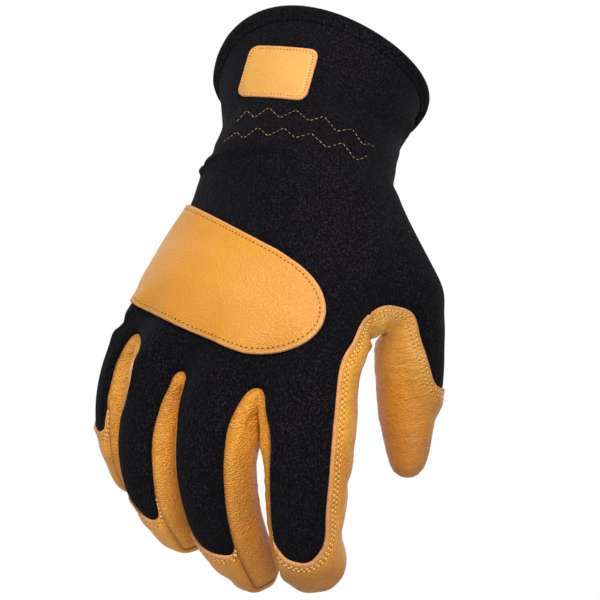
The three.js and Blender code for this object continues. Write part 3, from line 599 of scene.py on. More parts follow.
def noise_at(points, scale, seed):
    """Smooth noise from about -1 to 1. scale holds cells per millimetre along x, y and z."""
    places = points * np.array(scale) + seed
    return np.array([noise.noise(place) for place in places.tolist()])


def edges_of(triangles):
    return np.concatenate([triangles[:, [0, 1]], triangles[:, [1, 2]], triangles[:, [2, 0]]])


def tree_of(places):
    tree = KDTree(len(places))
    for slot, place in enumerate(places.tolist()):
        tree.insert(place, slot)
    tree.balance()
    return tree


# The fabric's line at the crotches of the fingers and of the thumb is rounded by these shifts, in quads.
FINGER_CROTCH_SHIFT = -0.1
THUMB_CROTCH_SHIFT = 0.1
LEVELS = 3
thumb_crotch = thumb_root[2 * SIDE_STEPS]
for web in webs:
    skin.knit[web[0]] += FINGER_CROTCH_SHIFT
skin.knit[thumb_crotch] += THUMB_CROTCH_SHIFT

SIDE_STRIPS = ["little_ring", "ring_middle", "middle_index"]
PANELS = ["knit", "underside", "palm", *SIDE_STRIPS, "thumb"]
cage = np.column_stack([np.array(skin.points), np.clip(skin.knit, -1, 1)])
quads = np.array(skin.quads)
tags = np.array([PANELS.index(tag) for tag in skin.tags])
surface = through_points(cage, quads)
for _ in range(LEVELS):
    surface, quads = refine(surface, quads)
    tags = np.repeat(tags, 4)
surface = limit_values(surface, quads)
points, knit_field = surface[:, :3].copy(), surface[:, 3].copy()

# The fabric's edge round the crotch of the thumb and round the webs of the fingers is drawn smooth.
CROTCH_ROUNDS, CROTCH_REACH, CROTCH_SHARE = 16, 15.0, 0.9
WEB_REACH, WEB_SHARE = 13.0, 0.75

# Where the fabric's edge is moved, in quads towards the leather: place and reach in millimetres.
EDGE_SHIFTS = table(
    "x y z reach shift",
    (12.5, -86, -95.5, 7, -0.15), (-36, -86, -137, 9, 0.3), (-30.5, -92.5, -126.5, 4.5, -0.2),
    (-60.5, -74, -128, 7, 0.3), (-71.3, -52, -109.5, 5, -1.0), (-71.5, -62.5, -106.5, 5.5, -1.1),
    (-72, -64.7, -112.2, 6, -1.1), (-73.7, -62.9, -119, 6, -1.1), (-74.5, -60.5, -124.5, 5.5, -0.9),
    (-83, -47, -125.5, 5, -0.3), (-84, -46, -137.3, 3, 0.25),
    (-33, -84, -179.5, 4.5, 0.35), (-62.9, -62, -168, 4.5, 0.3),
)


def bell_round(place, reach, power):
    return bell(np.linalg.norm(points - place, axis=1), reach, power)


drawn = CROTCH_SHARE * bell_round(skin.points[thumb_crotch], CROTCH_REACH, 4)
for web in webs:
    drawn = np.maximum(drawn, WEB_SHARE * bell_round(skin.points[web[0]], WEB_REACH, 4))
for _ in range(CROTCH_ROUNDS):
    near, _, _, _, quad_count, *_ = neighbour_sums(knit_field[:, None], quads)
    knit_field += drawn * ((near / quad_count)[:, 0] - knit_field)
for row in EDGE_SHIFTS:
    knit_field += row["shift"] * bell_round(place_of(row), row["reach"], 2)


def triangles_of(quads):
    """Two triangles for each quad, split along its shorter diagonal."""
    corners = points[quads]
    diagonals = [np.linalg.norm(corners[:, k] - corners[:, k + 2], axis=1) for k in (0, 1)]
    short = (diagonals[0] <= diagonals[1])[:, None]
    first = np.where(short, quads[:, [0, 1, 2]], quads[:, [0, 1, 3]])
    second = np.where(short, quads[:, [0, 2, 3]], quads[:, [1, 2, 3]])
    return np.stack([first, second], 1).reshape(-1, 3)


triangles = triangles_of(quads)
tags = np.repeat(tags, 2)

# Gathers between the two zigzag rows at the wrist, and folds where the cloth is slack.
GATHER_MIDDLE, GATHER_REACH, GATHER_DEPTH, GATHER_SLOPE = -16.0, 11.0, 0.55, 0.25
GATHER_CELLS, SLACK_CELLS, SLACK_DEPTH = (0.13, 0.13, 0.035), (0.045, 0.045, 0.03), 0.25
FOLDS = table(
    "x y z across up height",
    (-42, -22, -31, 13, 3.4, 0.9),
    (-40, -22, -37.5, 13, 2.6, -1.0),
    (33, -20, -17, 9, 3.2, 1.0),
    (30, -22, -25, 9, 3.4, -1.2),
    (40, 2.5, -14.9, 11, 3.0, -2.2),
    (28, -43, -43, 10, 3.5, -1.1),
    (-45, -29, -29.6, 10, 2.4, -1.5),
    (-78.5, -44.4, -95.7, 10, 2.8, -2.2),
    (-73.5, -39, -84, 12, 5.0, -0.7),
    (46, -56, -92, 12, 7.0, -1.2),
    (43.7, -40.4, -136, 8, 5.0, -0.9),
    (8.7, -91, -152.6, 8, 3.0, -1.0),
    (7, -84, -170, 8, 5.0, -1.0),
    (-88, -38.4, -141.7, 8, 3.5, -1.1),
    (-71, -55, -167, 7, 4.0, -1.0),
    (-36, -65, -192.5, 7, 4.0, -2.0),
)
normals = point_normals(points, triangles)
down_hand = points[:, 2] + GATHER_SLOPE * points[:, 0]
gathered = bell(down_hand - GATHER_MIDDLE, GATHER_REACH)
lift = GATHER_DEPTH * gathered * noise_at(points, GATHER_CELLS, 3.0)
lift += SLACK_DEPTH * noise_at(points, SLACK_CELLS, 11.0)
for fold in FOLDS:
    off = points - place_of(fold)
    level = (off[:, 2] / fold["up"]) ** 2
    side = (np.hypot(off[:, 0], off[:, 1]) / fold["across"]) ** 2
    lift += fold["height"] * np.exp(-level - side)
points += normals * lift[:, None]
normals = point_normals(points, triangles)


def cut(points, normals, field, triangles, labels, snap=0.22):
    """Cuts triangles where field is zero. A corner nearer to that line than snap moves onto it."""
    rows, field = np.column_stack([points, normals]), field.copy()
    ends = edges_of(triangles)
    ends = ends[field[ends[:, 0]] * field[ends[:, 1]] < 0]
    share = field[ends[:, 0]] / (field[ends[:, 0]] - field[ends[:, 1]])
    order = np.argsort(share)
    for k in order[share[order] < snap]:
        here, other = ends[k]
        if field[here] * field[other] < 0:
            rows[here] += (rows[other] - rows[here]) * share[k]
            field[here] = 0
    sides = field[triangles]
    crossed = (sides.max(1) > 0) & (sides.min(1) < 0)
    new_rows, made = [], {}

    def crossing(a, b):
        key = (min(a, b), max(a, b))
        if key not in made:
            t = field[a] / (field[a] - field[b])
            made[key] = len(rows) + len(new_rows)
            new_rows.append(rows[a] + (rows[b] - rows[a]) * t)
        return made[key]

    parts = []
    for corners, label in zip(triangles[crossed].tolist(), labels[crossed].tolist()):
        cycle = []
        for a, b in zip(corners, corners[1:] + corners[:1]):
            cycle.append((a, field[a]))
            if field[a] * field[b] < 0:
                cycle.append((crossing(a, b), 0.0))
        for sign in (1, -1):
            kept = [corner for corner, value in cycle if sign * value >= 0]
            parts += [(kept[0], kept[k], kept[k + 1], sign, label) for k in range(1, len(kept) - 1)]
    parts, new_rows = np.array(parts), np.array(new_rows)
    new_rows[:, 3:] = unit(new_rows[:, 3:])
    rows = np.concatenate([rows, new_rows])
    faces = np.concatenate([triangles[~crossed], parts[:, :3]])
    inside = np.concatenate([sides[~crossed].max(1) > 0, parts[:, 3] > 0])
    return rows[:, :3], rows[:, 3:], faces, inside, np.concatenate([labels[~crossed], parts[:, 4]])


uncut = {"points": points, "normals": normals, "knit": knit_field, "triangles": triangles, "tags": tags}
points, normals, triangles, on_knit, tags = cut(points, normals, knit_field, triangles, tags)
panels = np.where(on_knit, PANELS.index("knit"), tags)

KNITS = [PANELS.index("knit"), PANELS.index("underside")]
LAPPED = [PANELS.index("palm"), PANELS.index("thumb")]


def seam_edges(triangles, panels):
    """Every edge between two panels, from both sides, as rows of start, end, own panel, other panel."""
    count = triangles.max() + 1
    ends = edges_of(triangles)
    owner = np.tile(panels, 3)
    key = ends[:, 0] * count + ends[:, 1]
    order = np.argsort(key)
    reverse = ends[:, 1] * count + ends[:, 0]
    spot = np.clip(np.searchsorted(key[order], reverse), 0, len(key) - 1)
    found = key[order][spot] == reverse
    other = np.where(found, owner[order][spot], -1)
    chosen = found & (other != owner)
    return np.column_stack([ends[chosen], owner[chosen], other[chosen]])


seams = seam_edges(triangles, panels)
is_knit = [np.isin(seams[:, k], KNITS) for k in (2, 3)]
is_lapped = [np.isin(seams[:, k], LAPPED) for k in (2, 3)]
is_lap = (is_knit[0] & is_lapped[1]) | (is_knit[1] & is_lapped[0])
is_cuff_side = is_knit[0] & is_knit[1]
is_thumb_seam = is_lapped[0] & is_lapped[1]


def distance_to(chosen):
    """Distance from each point of the glove to the nearest of the chosen seams."""
    edges = seams[chosen][:, :2]
    ids = np.unique(edges)
    tree = tree_of(points[ids])
    nearest = np.array([tree.find(place)[1] for place in points.tolist()])
    slots = np.searchsorted(ids, edges)
    partners = np.repeat(np.arange(len(ids))[:, None], 4, 1)
    filled = np.zeros(len(ids), int)
    for a, b in np.concatenate([slots, slots[:, ::-1]]).tolist():
        if filled[a] < 4 and b not in partners[a, : filled[a]]:
            partners[a, filled[a]] = b
            filled[a] += 1
    best = np.full(len(points), np.inf)
    start = points[ids][nearest]
    for k in range(4):
        run = points[ids][partners[nearest, k]] - start
        length = np.maximum((run * run).sum(1), 1e-12)
        t = np.clip(((points - start) * run).sum(1) / length, 0, 1)
        best = np.minimum(best, np.linalg.norm(points - start - run * t[:, None], axis=1))
    return best


to_lap = distance_to(is_lap)
to_sunk = distance_to(~is_lap & ~is_cuff_side & ~is_thumb_seam)
to_thumb_seam = distance_to(is_thumb_seam)
to_cuff_side = distance_to(is_cuff_side)

# Heights over the smooth surface, in millimetres: the leather lies on top of the knit, other seams are sunk
# with a low bulge beside them, and rows of stitches pull the leather down.
LAP_LIFT, LAP_FROM, LAP_REACH = 0.95, 4, 11.0
SUNK_DEPTH, SUNK_WIDTH = 0.65, 1.0
BULGE_HEIGHT, BULGE_AWAY, BULGE_WIDTH = 0.22, 3, 1.5
CUFF_SIDE_DEPTH, CUFF_SIDE_WIDTH = 0.5, 1.2
THUMB_SEAM_DEPTH, THUMB_SEAM_WIDTH = 0.6, 1.0
PALM_ROWS = (1.55, 2.75)
THUMB_ROWS = (0.95, 2.65)
STITCH_ROWS = {"palm": PALM_ROWS, "thumb": THUMB_ROWS}
STITCH_PULL, STITCH_PULL_WIDTH = 0.22, 0.55
clear_of_sunk = smooth_step(0.3, 3.5, to_sunk)
sunk = -SUNK_DEPTH * bell(to_sunk, SUNK_WIDTH) + BULGE_HEIGHT * bell(to_sunk - BULGE_AWAY, BULGE_WIDTH)
lapped = LAP_LIFT * (1 - smooth_step(LAP_FROM, LAP_REACH, to_lap)) * clear_of_sunk
thumb_groove = -THUMB_SEAM_DEPTH * bell(to_thumb_seam, THUMB_SEAM_WIDTH) * smooth_step(1, 8, to_lap)
fabric_height = sunk - CUFF_SIDE_DEPTH * bell(to_cuff_side, CUFF_SIDE_WIDTH)
leather_height = sunk + lapped + thumb_groove


def stitched_height(panel):
    pulls = sum(bell(to_lap - row, STITCH_PULL_WIDTH) for row in STITCH_ROWS[panel])
    return leather_height - STITCH_PULL * clear_of_sunk * pulls


# Uneven leather: fine and broad creases, and soft waves.
creases = 0.22 * noise_at(points, (0.12, 0.12, 0.42), 23.0) + 0.12 * noise_at(points, (0.3, 0.3, 0.8), 31.0)
soft = 0.25 * noise_at(points, (0.11, 0.11, 0.16), 41.0)
# The strip between middle and index finger bulges on both of them until it touches itself below the crotch.
TOUCH_Z, TOUCH_REACH, TOUCH_HEIGHT = -132.0, 11.0, 1.9
touching = TOUCH_HEIGHT * bell(points[:, 2] - TOUCH_Z, TOUCH_REACH, 4) * smooth_step(0.5, 4, to_sunk)
# Creases across the middle finger's side strip, seen from the front.
CREASES = table(
    "x z to_x to_z depth",
    (-22.5, -132.8, -29.6, -136, 0.5), (-22.5, -131, -28.6, -133.8, 0.35),
    (-22.5, -137.8, -26.5, -140, 0.45), (-23.5, -127.4, -29, -129.6, 0.35),
)
CREASE_WIDTH, CREASE_FADE = 0.65, 0.7
side_creases = np.zeros(len(points))
for crease in CREASES:
    run = place_of(crease, "to_x to_z") - place_of(crease, "x z")
    from_start = points[:, [0, 2]] - place_of(crease, "x z")
    share = np.clip(from_start @ run / (run @ run), 0, 1)
    away = np.linalg.norm(from_start - share[:, None] * run, axis=1)
    side_creases -= crease["depth"] * (1 - CREASE_FADE * share) * bell(away, CREASE_WIDTH)
off_seam = smooth_step(0.5, 3, to_sunk)
strip_height = sunk + creases * off_seam
heights = {
    "knit": fabric_height,
    "underside": fabric_height,
    "palm": stitched_height("palm") + soft * smooth_step(1, 6, to_lap),
    "little_ring": strip_height,
    "ring_middle": strip_height,
    "middle_index": sunk + (creases + side_creases) * off_seam + touching,
    "thumb": stitched_height("thumb") + (soft + creases) * smooth_step(2, 8, to_lap),
}


def border_of(triangles, count):
    """The edges that only one triangle has."""
    ends = edges_of(triangles)
    key = ends[:, 0] * count + ends[:, 1]
    return ends[~np.isin(key, ends[:, 1] * count + ends[:, 0])]


def into_sheet(points, normals, border):
    """For each point of a border, the direction in the surface that leads away from the border."""
    inward = np.zeros_like(points)
    run = unit(points[border[:, 1]] - points[border[:, 0]])
    for k in (0, 1):
        np.add.at(inward, border[:, k], np.cross(normals[border[:, k]], run))
    return unit(inward)


# Cross-sections of a wall's edge, from its outer face to its inner one: how far outside the edge, and
# how high above the inner face as a share of the thickness.
RAW_EDGE = table("out up", (0.05, 1.0), (0.34, 0.93), (0.6, 0.68), (0.64, 0.2))
SEWN_EDGE = table("out up", (0.05, 0.85), (0.06, 0.5))
PATCH_EDGE = table("out up", (0.2, 0.95), (0.48, 0.8), (0.66, 0.52), (0.66, 0.15))
# Where an edge is rawer than this, its cut leather shows.
SHOWN_RAW = 0.4


def mesh_object(name, places, faces, materials, face_materials, values=None):
    mesh = bpy.data.meshes.new(name)
    mesh.vertices.add(len(places))
    mesh.vertices.foreach_set("co", (np.asarray(places) * MM).astype(np.float32).ravel())
    mesh.loops.add(3 * len(faces))
    mesh.loops.foreach_set("vertex_index", np.asarray(faces, np.int32).ravel())
    mesh.polygons.add(len(faces))
    mesh.polygons.foreach_set("loop_start", np.arange(0, 3 * len(faces), 3, dtype=np.int32))
    mesh.polygons.foreach_set("material_index", np.asarray(face_materials, np.int32))
    mesh.polygons.foreach_set("use_smooth", np.ones(len(faces), bool))
    for key, value in (values or {}).items():
        attribute = mesh.attributes.new(key, "FLOAT", "POINT")
        attribute.data.foreach_set("value", np.asarray(value, np.float32))
    for material in materials:
        mesh.materials.append(material)
    mesh.update(calc_edges=True)
    mesh.validate()
    made = bpy.data.objects.new(name, mesh)
    bpy.context.scene.collection.objects.link(made)
    return made


def wall(name, points, normals, triangles, height, thickness, edge, materials, values):
    """A closed wall on the triangles. materials are those of its outer face, edge and inner face."""
    ids, local = np.unique(triangles, return_inverse=True)
    local = local.reshape(-1, 3)
    border = border_of(local, len(ids))
    places, out = points[ids], normals[ids]
    top = places + out * height[ids][:, None]
    bottom = places + out * (height[ids] - thickness)[:, None]
    rim_ids, rim_local = np.unique(border, return_inverse=True)
    rim_local = rim_local.reshape(-1, 2)
    count, rim_count = len(ids), len(rim_ids)
    inward = into_sheet(places, out, border)[rim_ids]
    raw = values["raw"][ids][rim_ids]
    layers = [top, bottom]
    for step in edge:
        ring = bottom[rim_ids] + (top[rim_ids] - bottom[rim_ids]) * step["up"]
        layers.append(ring - inward * step["out"] * raw[:, None])
    faces, kinds = [local, local[:, ::-1] + count], [0] * len(local) + [2] * len(local)
    starts = [rim_ids] + [2 * count + rim_count * k + np.arange(rim_count) for k in range(len(edge))]
    starts.append(rim_ids + count)
    for k, (upper, lower) in enumerate(zip(starts[:-1], starts[1:])):
        (a, b), (c, d) = upper[rim_local].T, lower[rim_local].T
        faces += [np.column_stack([b, a, c]), np.column_stack([b, c, d])]
        shown_raw = (raw[rim_local].mean(1) > SHOWN_RAW) & (k > 0)
        kinds += shown_raw.astype(int).tolist() * 2
    rows = np.concatenate([ids, ids] + [ids[rim_ids]] * len(edge))
    spread = {key: value[rows] for key, value in values.items()}
    made = mesh_object(name, np.concatenate(layers), np.concatenate(faces), materials, kinds, spread)
    return made, top, local


SHORTEST_CHAIN = 7


def chains_of(edges):
    """Directed edges as runs of point numbers, each as long as it goes. Very short runs are left out."""
    after = dict(edges.tolist())
    starts = [a for a in after if a not in set(after.values())]
    chains, used = [], set()
    for start in starts + list(after):
        if start in used:
            continue
        chain = [start]
        used.add(start)
        while chain[-1] in after and after[chain[-1]] not in used:
            chain.append(after[chain[-1]])
            used.add(chain[-1])
        if chain[-1] in after and after[chain[-1]] == start:
            chain.append(start)
        chains.append(chain)
    return [chain for chain in chains if len(chain) >= SHORTEST_CHAIN]


def way_along(line):
    """How far each point of a line lies from the line's start. A row begins with its place."""
    steps = np.linalg.norm(np.diff(line[:, :3], axis=0), axis=1)
    return np.concatenate([[0], np.cumsum(steps)])


def rows_at(line, where):
    gone = way_along(line)
    return np.column_stack([np.interp(where, gone, line[:, k]) for k in range(line.shape[1])])


def even_line(line, spacing, rounds=6):
    """The line again, smoothed a little, with points at an even spacing."""
    closed = np.allclose(line[0, :3], line[-1, :3])
    for _ in range(rounds):
        middle = (line[:-2] + line[2:]) / 2
        line = line.copy()
        line[1:-1] = line[1:-1] * 0.5 + middle * 0.5
        if closed:
            line[0] = line[-1] = line[0] * 0.5 + (line[1] + line[-2]) * 0.25
    length = way_along(line)[-1]
    return rows_at(line, np.linspace(0, length, max(int(length / spacing), 2) + 1))


def border_lines(border, places, normals):
    """Lines along a border, with rows of place, normal and the direction into the sheet."""
    rows = np.column_stack([places, normals, into_sheet(places, normals, border)])
    return [rows[chain] for chain in chains_of(border)]


class Cloth:
    """A surface that stitches are laid on."""

    def __init__(self, places, triangles):
        self.tree = BVHTree.FromPolygons(places.tolist(), triangles.tolist())

    def land(self, spots):
        found = [self.tree.find_nearest(spot) for spot in spots.tolist()]
        places = np.array([hit[0] for hit in found])
        return places, np.array([hit[1] for hit in found])


# How each kind of seam is sewn: the stitches' pitch and the share of it that shows, the thread's radius, half
# the length of a needle's hole in radii of the thread, and its depth in radii of the hole.
SEWING = {
    row["seam"]: row
    for row in table(
        "seam pitch share radius hole_length hole_depth",
        ("lap", 1.9, 0.6, 0.24, 1.9, 0.85),
        ("patch", 1.9, 0.5, 0.24, 2.5, 0.5),
        ("label", 1.35, 0.55, 0.19, 2.0, 0.45),
    )
}
HOLE_WIDTH = 1.15
WANDER, LANDING_STEP = 0.05, 0.5


class Stitches:
    """Short threads, each a capsule that dips into the cloth at both ends."""

    AROUND = 6
    PROFILE = table(
        "along out sink",
        (-1, 0.3, -1.2), (-0.75, 0.9, -0.2), (0, 1, 0.3), (0.75, 0.9, -0.2), (1, 0.3, -1.2),
    )

    def __init__(self):
        self.points, self.faces = [], []

    def add(self, start, end, normal, radius, lower=0.0):
        middle, half = (start + end) / 2, (end - start) / 2
        along = unit(half)
        side = unit(np.cross(along, normal))
        up = np.cross(side, along)
        base = len(self.points)
        angles = np.arange(self.AROUND) * 2 * math.pi / self.AROUND
        for ring in self.PROFILE:
            centre = middle + half * ring["along"] + normal * radius * (ring["sink"] - lower)
            for angle in angles:
                out = side * math.cos(angle) + up * math.sin(angle)
                self.points.append(centre + out * radius * ring["out"])
        last = len(self.PROFILE) - 1
        for row in range(last):
            for k in range(self.AROUND):
                a, b = base + row * self.AROUND + k, base + row * self.AROUND + (k + 1) % self.AROUND
                self.faces += [(a, b, b + self.AROUND), (a, b + self.AROUND, a + self.AROUND)]
        for row, turn in ((0, -1), (last, 1)):
            ring = [base + row * self.AROUND + k for k in range(self.AROUND)][::turn]
            self.faces += [(ring[0], ring[k], ring[k + 1]) for k in range(1, self.AROUND - 1)]

    def along(self, line, cloth, inset, sewing, hole_shades):
        """Stitches beside a line of border_lines, and dark capsules of painted shade in each needle's hole
        between them.
        """
        radius = sewing["radius"]
        line = even_line(line, LANDING_STEP)
        spots, _ = cloth.land(line[:, :3] + unit(line[:, 6:9]) * inset)
        places, ways = cloth.land(even_line(spots, sewing["pitch"]))
        for k in range(len(places) - 1):
            run = places[k + 1] - places[k]
            gap = run * (1 - sewing["share"]) / 2
            wander = np.array([random.uniform(-WANDER, WANDER) for _ in range(3)])
            normal = unit(ways[k] + ways[k + 1])
            self.add(places[k] + gap + wander, places[k + 1] - gap + wander, normal, radius)
            pulled = unit(run) * radius * sewing["hole_length"]
            start, end = places[k] - pulled + wander, places[k] + pulled + wander
            hole_shades.add(start, end, ways[k], radius * HOLE_WIDTH, sewing["hole_depth"])

    def build(self, name, material):
        return mesh_object(name, self.points, self.faces, [material], [0] * len(self.faces))


class Shader:
    """Builds one node material."""

    def __init__(self, name):
        self.material = bpy.data.materials.new(name)
        self.material.use_nodes = True
        self.tree = self.material.node_tree
        self.bsdf = self.tree.nodes["Principled BSDF"]
        self.position = self.node("ShaderNodeTexCoord").outputs["Object"]

    def node(self, kind, inputs=None, **settings):
        made = self.tree.nodes.new(kind)
        for key, value in settings.items():
            setattr(made, key, value)
        for key, value in (inputs or {}).items():
            self.put(made.inputs[key], value)
        return made

    def put(self, socket, value):
        if isinstance(value, bpy.types.NodeSocket):
            self.tree.links.new(value, socket)
        else:
            socket.default_value = (*value, 1.0) if socket.type == "RGBA" else value

    def math(self, operation, *values):
        return self.node("ShaderNodeMath", dict(enumerate(values)), operation=operation).outputs[0]

    def times(self, value, *others):
        for other in others:
            value = self.math("MULTIPLY", value, other)
        return value

    def plus(self, value, *others):
        for other in others:
            value = self.math("ADD", value, other)
        return value

    def apart(self, value, other):
        return self.math("ABSOLUTE", self.math("SUBTRACT", value, other))

    def noise(self, scale, detail=3.0, roughness=0.55):
        inputs = {"Vector": self.position, "Scale": scale, "Detail": detail, "Roughness": roughness}
        return self.node("ShaderNodeTexNoise", inputs).outputs[0]

    def cells(self, scale, stretch, shake=None):
        """Distance from the middle of the nearest cell. shake makes the cells uneven."""
        vector = self.node("ShaderNodeMapping", {"Vector": self.position, "Scale": stretch}).outputs[0]
        if shake is not None:
            vector = self.node("ShaderNodeVectorMath", {0: vector, 1: shake}, operation="ADD").outputs[0]
        inputs = {"Vector": vector, "Scale": scale}
        return self.node("ShaderNodeTexVoronoi", inputs, feature="F1").outputs["Distance"]

    def streaks(self, lengths, turn):
        """Noise drawn out: lengths holds the size of a streak along and across, in metres."""
        inputs = {"Vector": self.position, "Rotation": turn, "Scale": lengths}
        vector = self.node("ShaderNodeMapping", inputs, vector_type="TEXTURE").outputs[0]
        inputs = {"Vector": vector, "Scale": 1.0, "Detail": 2.0, "Roughness": 0.6, "Distortion": 0.5}
        return self.node("ShaderNodeTexNoise", inputs).outputs[0]

    def ramp(self, value, low, high, start=0.0, end=1.0):
        inputs = {"Value": value, "From Min": low, "From Max": high, "To Min": start, "To Max": end}
        made = self.node("ShaderNodeMapRange", inputs, interpolation_type="SMOOTHSTEP")
        return made.outputs[0]

    def blend(self, share, first, second):
        inputs = {0: share, 6: first, 7: second}
        return self.node("ShaderNodeMix", inputs, data_type="RGBA").outputs[2]

    def value(self, name):
        return self.node("ShaderNodeAttribute", attribute_name=name).outputs["Fac"]

    def bump(self, height, distance, strength=1.0, under=None):
        inputs = {"Height": height, "Distance": distance, "Strength": strength}
        if under is not None:
            inputs["Normal"] = under
        return self.node("ShaderNodeBump", inputs).outputs[0]

    def finish(self, **inputs):
        for key, value in inputs.items():
            self.put(self.bsdf.inputs[key.replace("_", " ")], value)
        return self.material


RIB_PITCH = 0.0011
KNIT_DARK, KNIT_LIGHT, KNIT_FIBRES = (0.002, 0.0017, 0.0022), (0.0032, 0.0027, 0.0035), (0.028, 0.0245, 0.031)


def knit_material():
    """Black interlock knit: upright ribs about a millimetre apart, speckled with paler fibres."""
    s = Shader("black_knit")
    place = s.node("ShaderNodeSeparateXYZ", {0: s.position}).outputs
    facing = s.node("ShaderNodeNewGeometry").outputs["Normal"]
    facing = s.node("ShaderNodeSeparateXYZ", {0: facing}).outputs
    facing = [s.math("ABSOLUTE", facing[axis]) for axis in (0, 1)]
    sideways = s.ramp(s.math("SUBTRACT", *facing), -0.1, 0.1)
    wobble = s.times(s.noise(120.0, 1.0), 0.0011)
    ribs = []
    for axis in (0, 1):
        turn = s.times(s.plus(place[axis], wobble), 2 * math.pi / RIB_PITCH)
        ribs.append(s.math("SINE", turn))
    rib = s.plus(s.times(ribs[0], s.math("SUBTRACT", 1.0, sideways)), s.times(ribs[1], sideways))
    loops = s.cells(1500.0, (1, 1, 0.7))
    speckle = s.noise(1300.0, 3.0, 0.75)
    pale = s.times(s.ramp(speckle, 0.48, 0.7), s.ramp(s.noise(28.0), 0.3, 0.7, 0.55, 1.0))
    base = s.blend(s.ramp(rib, -0.9, 0.9), KNIT_DARK, KNIT_LIGHT)
    base = s.blend(s.times(pale, 0.85), base, KNIT_FIBRES)
    height = s.plus(s.times(rib, 0.28), s.times(loops, -0.8), s.times(speckle, 1.6))
    return s.finish(
        Base_Color=base, Roughness=s.ramp(speckle, 0.3, 0.8, 0.98, 0.82), Normal=s.bump(height, 0.00016),
        Specular_IOR_Level=0.06, Sheen_Weight=0.02, Sheen_Roughness=0.45, Sheen_Tint=(0.8, 0.8, 0.9),
    )


# How strongly the painted shade in pits, sunk seams, fold grooves, rows of stitches and the line of the ply,
# and the lip's own colour, colour the leather.
PIT_SHADE, SEAM_SHADE, FOLD_SHADE, ROW_SHADE, PLY_SHADE, LIP_SHARE = 0.13, 0.6, 0.3, 0.22, 0.3, 0.7
# The first colour is painted light for the places marked pale; the second is the cut lip's own colour.
PAINTED_LIGHT_COLOUR, LIP_COLOUR = (1.0, 0.52, 0.1), (0.68, 0.31, 0.1)


def leather_material(
    name, light, dark, shade, grain, wrinkles, roughness,
    lip=0.1, rows=(), even=0.35, mottled=0.22, fine=1.0,
):
    """Soft goatskin: pebble grain and mottled colour, with painted shade in its sunk seams and other hollows,
    and painted light.

    lip is how wide its rubbed border is and rows tells how far from the border it is stitched, in
    millimetres. even is the least share of the grain, mottled the greatest share of dark blotches, and a
    higher fine makes the pebbles smaller.
    """
    s = Shader(name)
    inputs = {"Vector": s.position, "Scale": 260.0, "Detail": 1.0}
    shake = s.node("ShaderNodeTexNoise", inputs).outputs["Color"]
    shake = s.node("ShaderNodeVectorMath", {0: shake, "Scale": 0.0016}, operation="SCALE").outputs[0]
    pebbles = s.cells(1050.0 * fine, (0.8, 0.8, 1.35), shake)
    small = s.cells(2300.0, (0.8, 0.8, 1.2), shake)
    cloud = s.noise(24.0, 4.0, 0.6)
    blotch = s.noise(75.0, 3.0, 0.6)
    patchy = s.ramp(s.noise(34.0, 2.0), 0.35, 0.65, even, 1.0)
    edge, raw = s.value("edge"), s.value("raw")
    base = s.blend(s.ramp(cloud, 0.3, 0.72), light, dark)
    base = s.blend(s.ramp(blotch, 0.45, 0.8, 0.0, mottled), base, shade)
    # Painted shade in the pits of the pebble grain.
    base = s.blend(s.times(s.ramp(pebbles, 0.35, 0.75), patchy, grain * PIT_SHADE), base, shade)
    # Painted shade in the sunk seams.
    base = s.blend(s.times(s.value("seam"), SEAM_SHADE), base, shade)
    folds = s.streaks((0.0045, 0.0022, 0.0008), (0, math.radians(-27), 0))
    wide_folds = s.streaks((0.014, 0.006, 0.0028), (0, math.radians(-18), 0))
    creased = s.times(s.value("crease"), wrinkles)
    # Painted shade in the grooves of the fine folds.
    grooves = s.ramp(folds, 0.36, 0.5, 1.0, 0.0)
    base = s.blend(s.times(grooves, s.times(creased, FOLD_SHADE)), base, shade)
    # Painted shade towards the tips and on sides turned from the light.
    base = s.blend(s.value("painted_shade"), base, shade)
    # Painted light where the leather is marked pale.
    base = s.blend(s.value("pale"), base, PAINTED_LIGHT_COLOUR)
    # Painted shade in the channels of the stitch rows.
    for row in rows:
        channel = s.ramp(s.apart(edge, row), 0.12, 0.5, 1.0, 0.0)
        base = s.blend(s.times(channel, raw, ROW_SHADE), base, shade)
    # Painted shade in the line between the two plies of the cut edge.
    ply = s.ramp(s.apart(edge, lip + 0.1), 0.04, 0.2, 1.0, 0.0)
    base = s.blend(s.times(ply, raw, PLY_SHADE), base, shade)
    border = s.ramp(edge, lip, lip + 0.12, 1.0, 0.0)
    base = s.blend(s.times(border, raw, LIP_SHARE), base, LIP_COLOUR)
    height = s.times(s.ramp(pebbles, 0.1, 0.8, 1.0, 0.0), s.times(patchy, grain))
    height = s.plus(height, s.times(small, -0.35 * grain), s.times(s.ramp(folds, 0.34, 0.6), creased))
    under = s.bump(s.times(wide_folds, creased), 0.0016, 0.55)
    return s.finish(
        Base_Color=base, Roughness=s.ramp(cloud, 0.25, 0.75, roughness - 0.06, roughness + 0.08),
        Normal=s.bump(height, 0.00026, 0.9, under), Specular_IOR_Level=0.5,
        Sheen_Weight=0.03, Sheen_Roughness=0.4, Sheen_Tint=(1, 0.8, 0.5),
    )


def plain_material(name, first, second, scale, roughness):
    """Fibrous finish of a cut edge, a lining or a thread."""
    s = Shader(name)
    fibre = s.noise(1600.0, 3.0, 0.7)
    mixed = s.times(s.plus(s.noise(scale), fibre), 0.5)
    base = s.blend(s.ramp(mixed, 0.38, 0.62), first, second)
    normal = s.bump(fibre, 0.0001)
    return s.finish(Base_Color=base, Roughness=roughness, Normal=normal, Specular_IOR_Level=0.25)


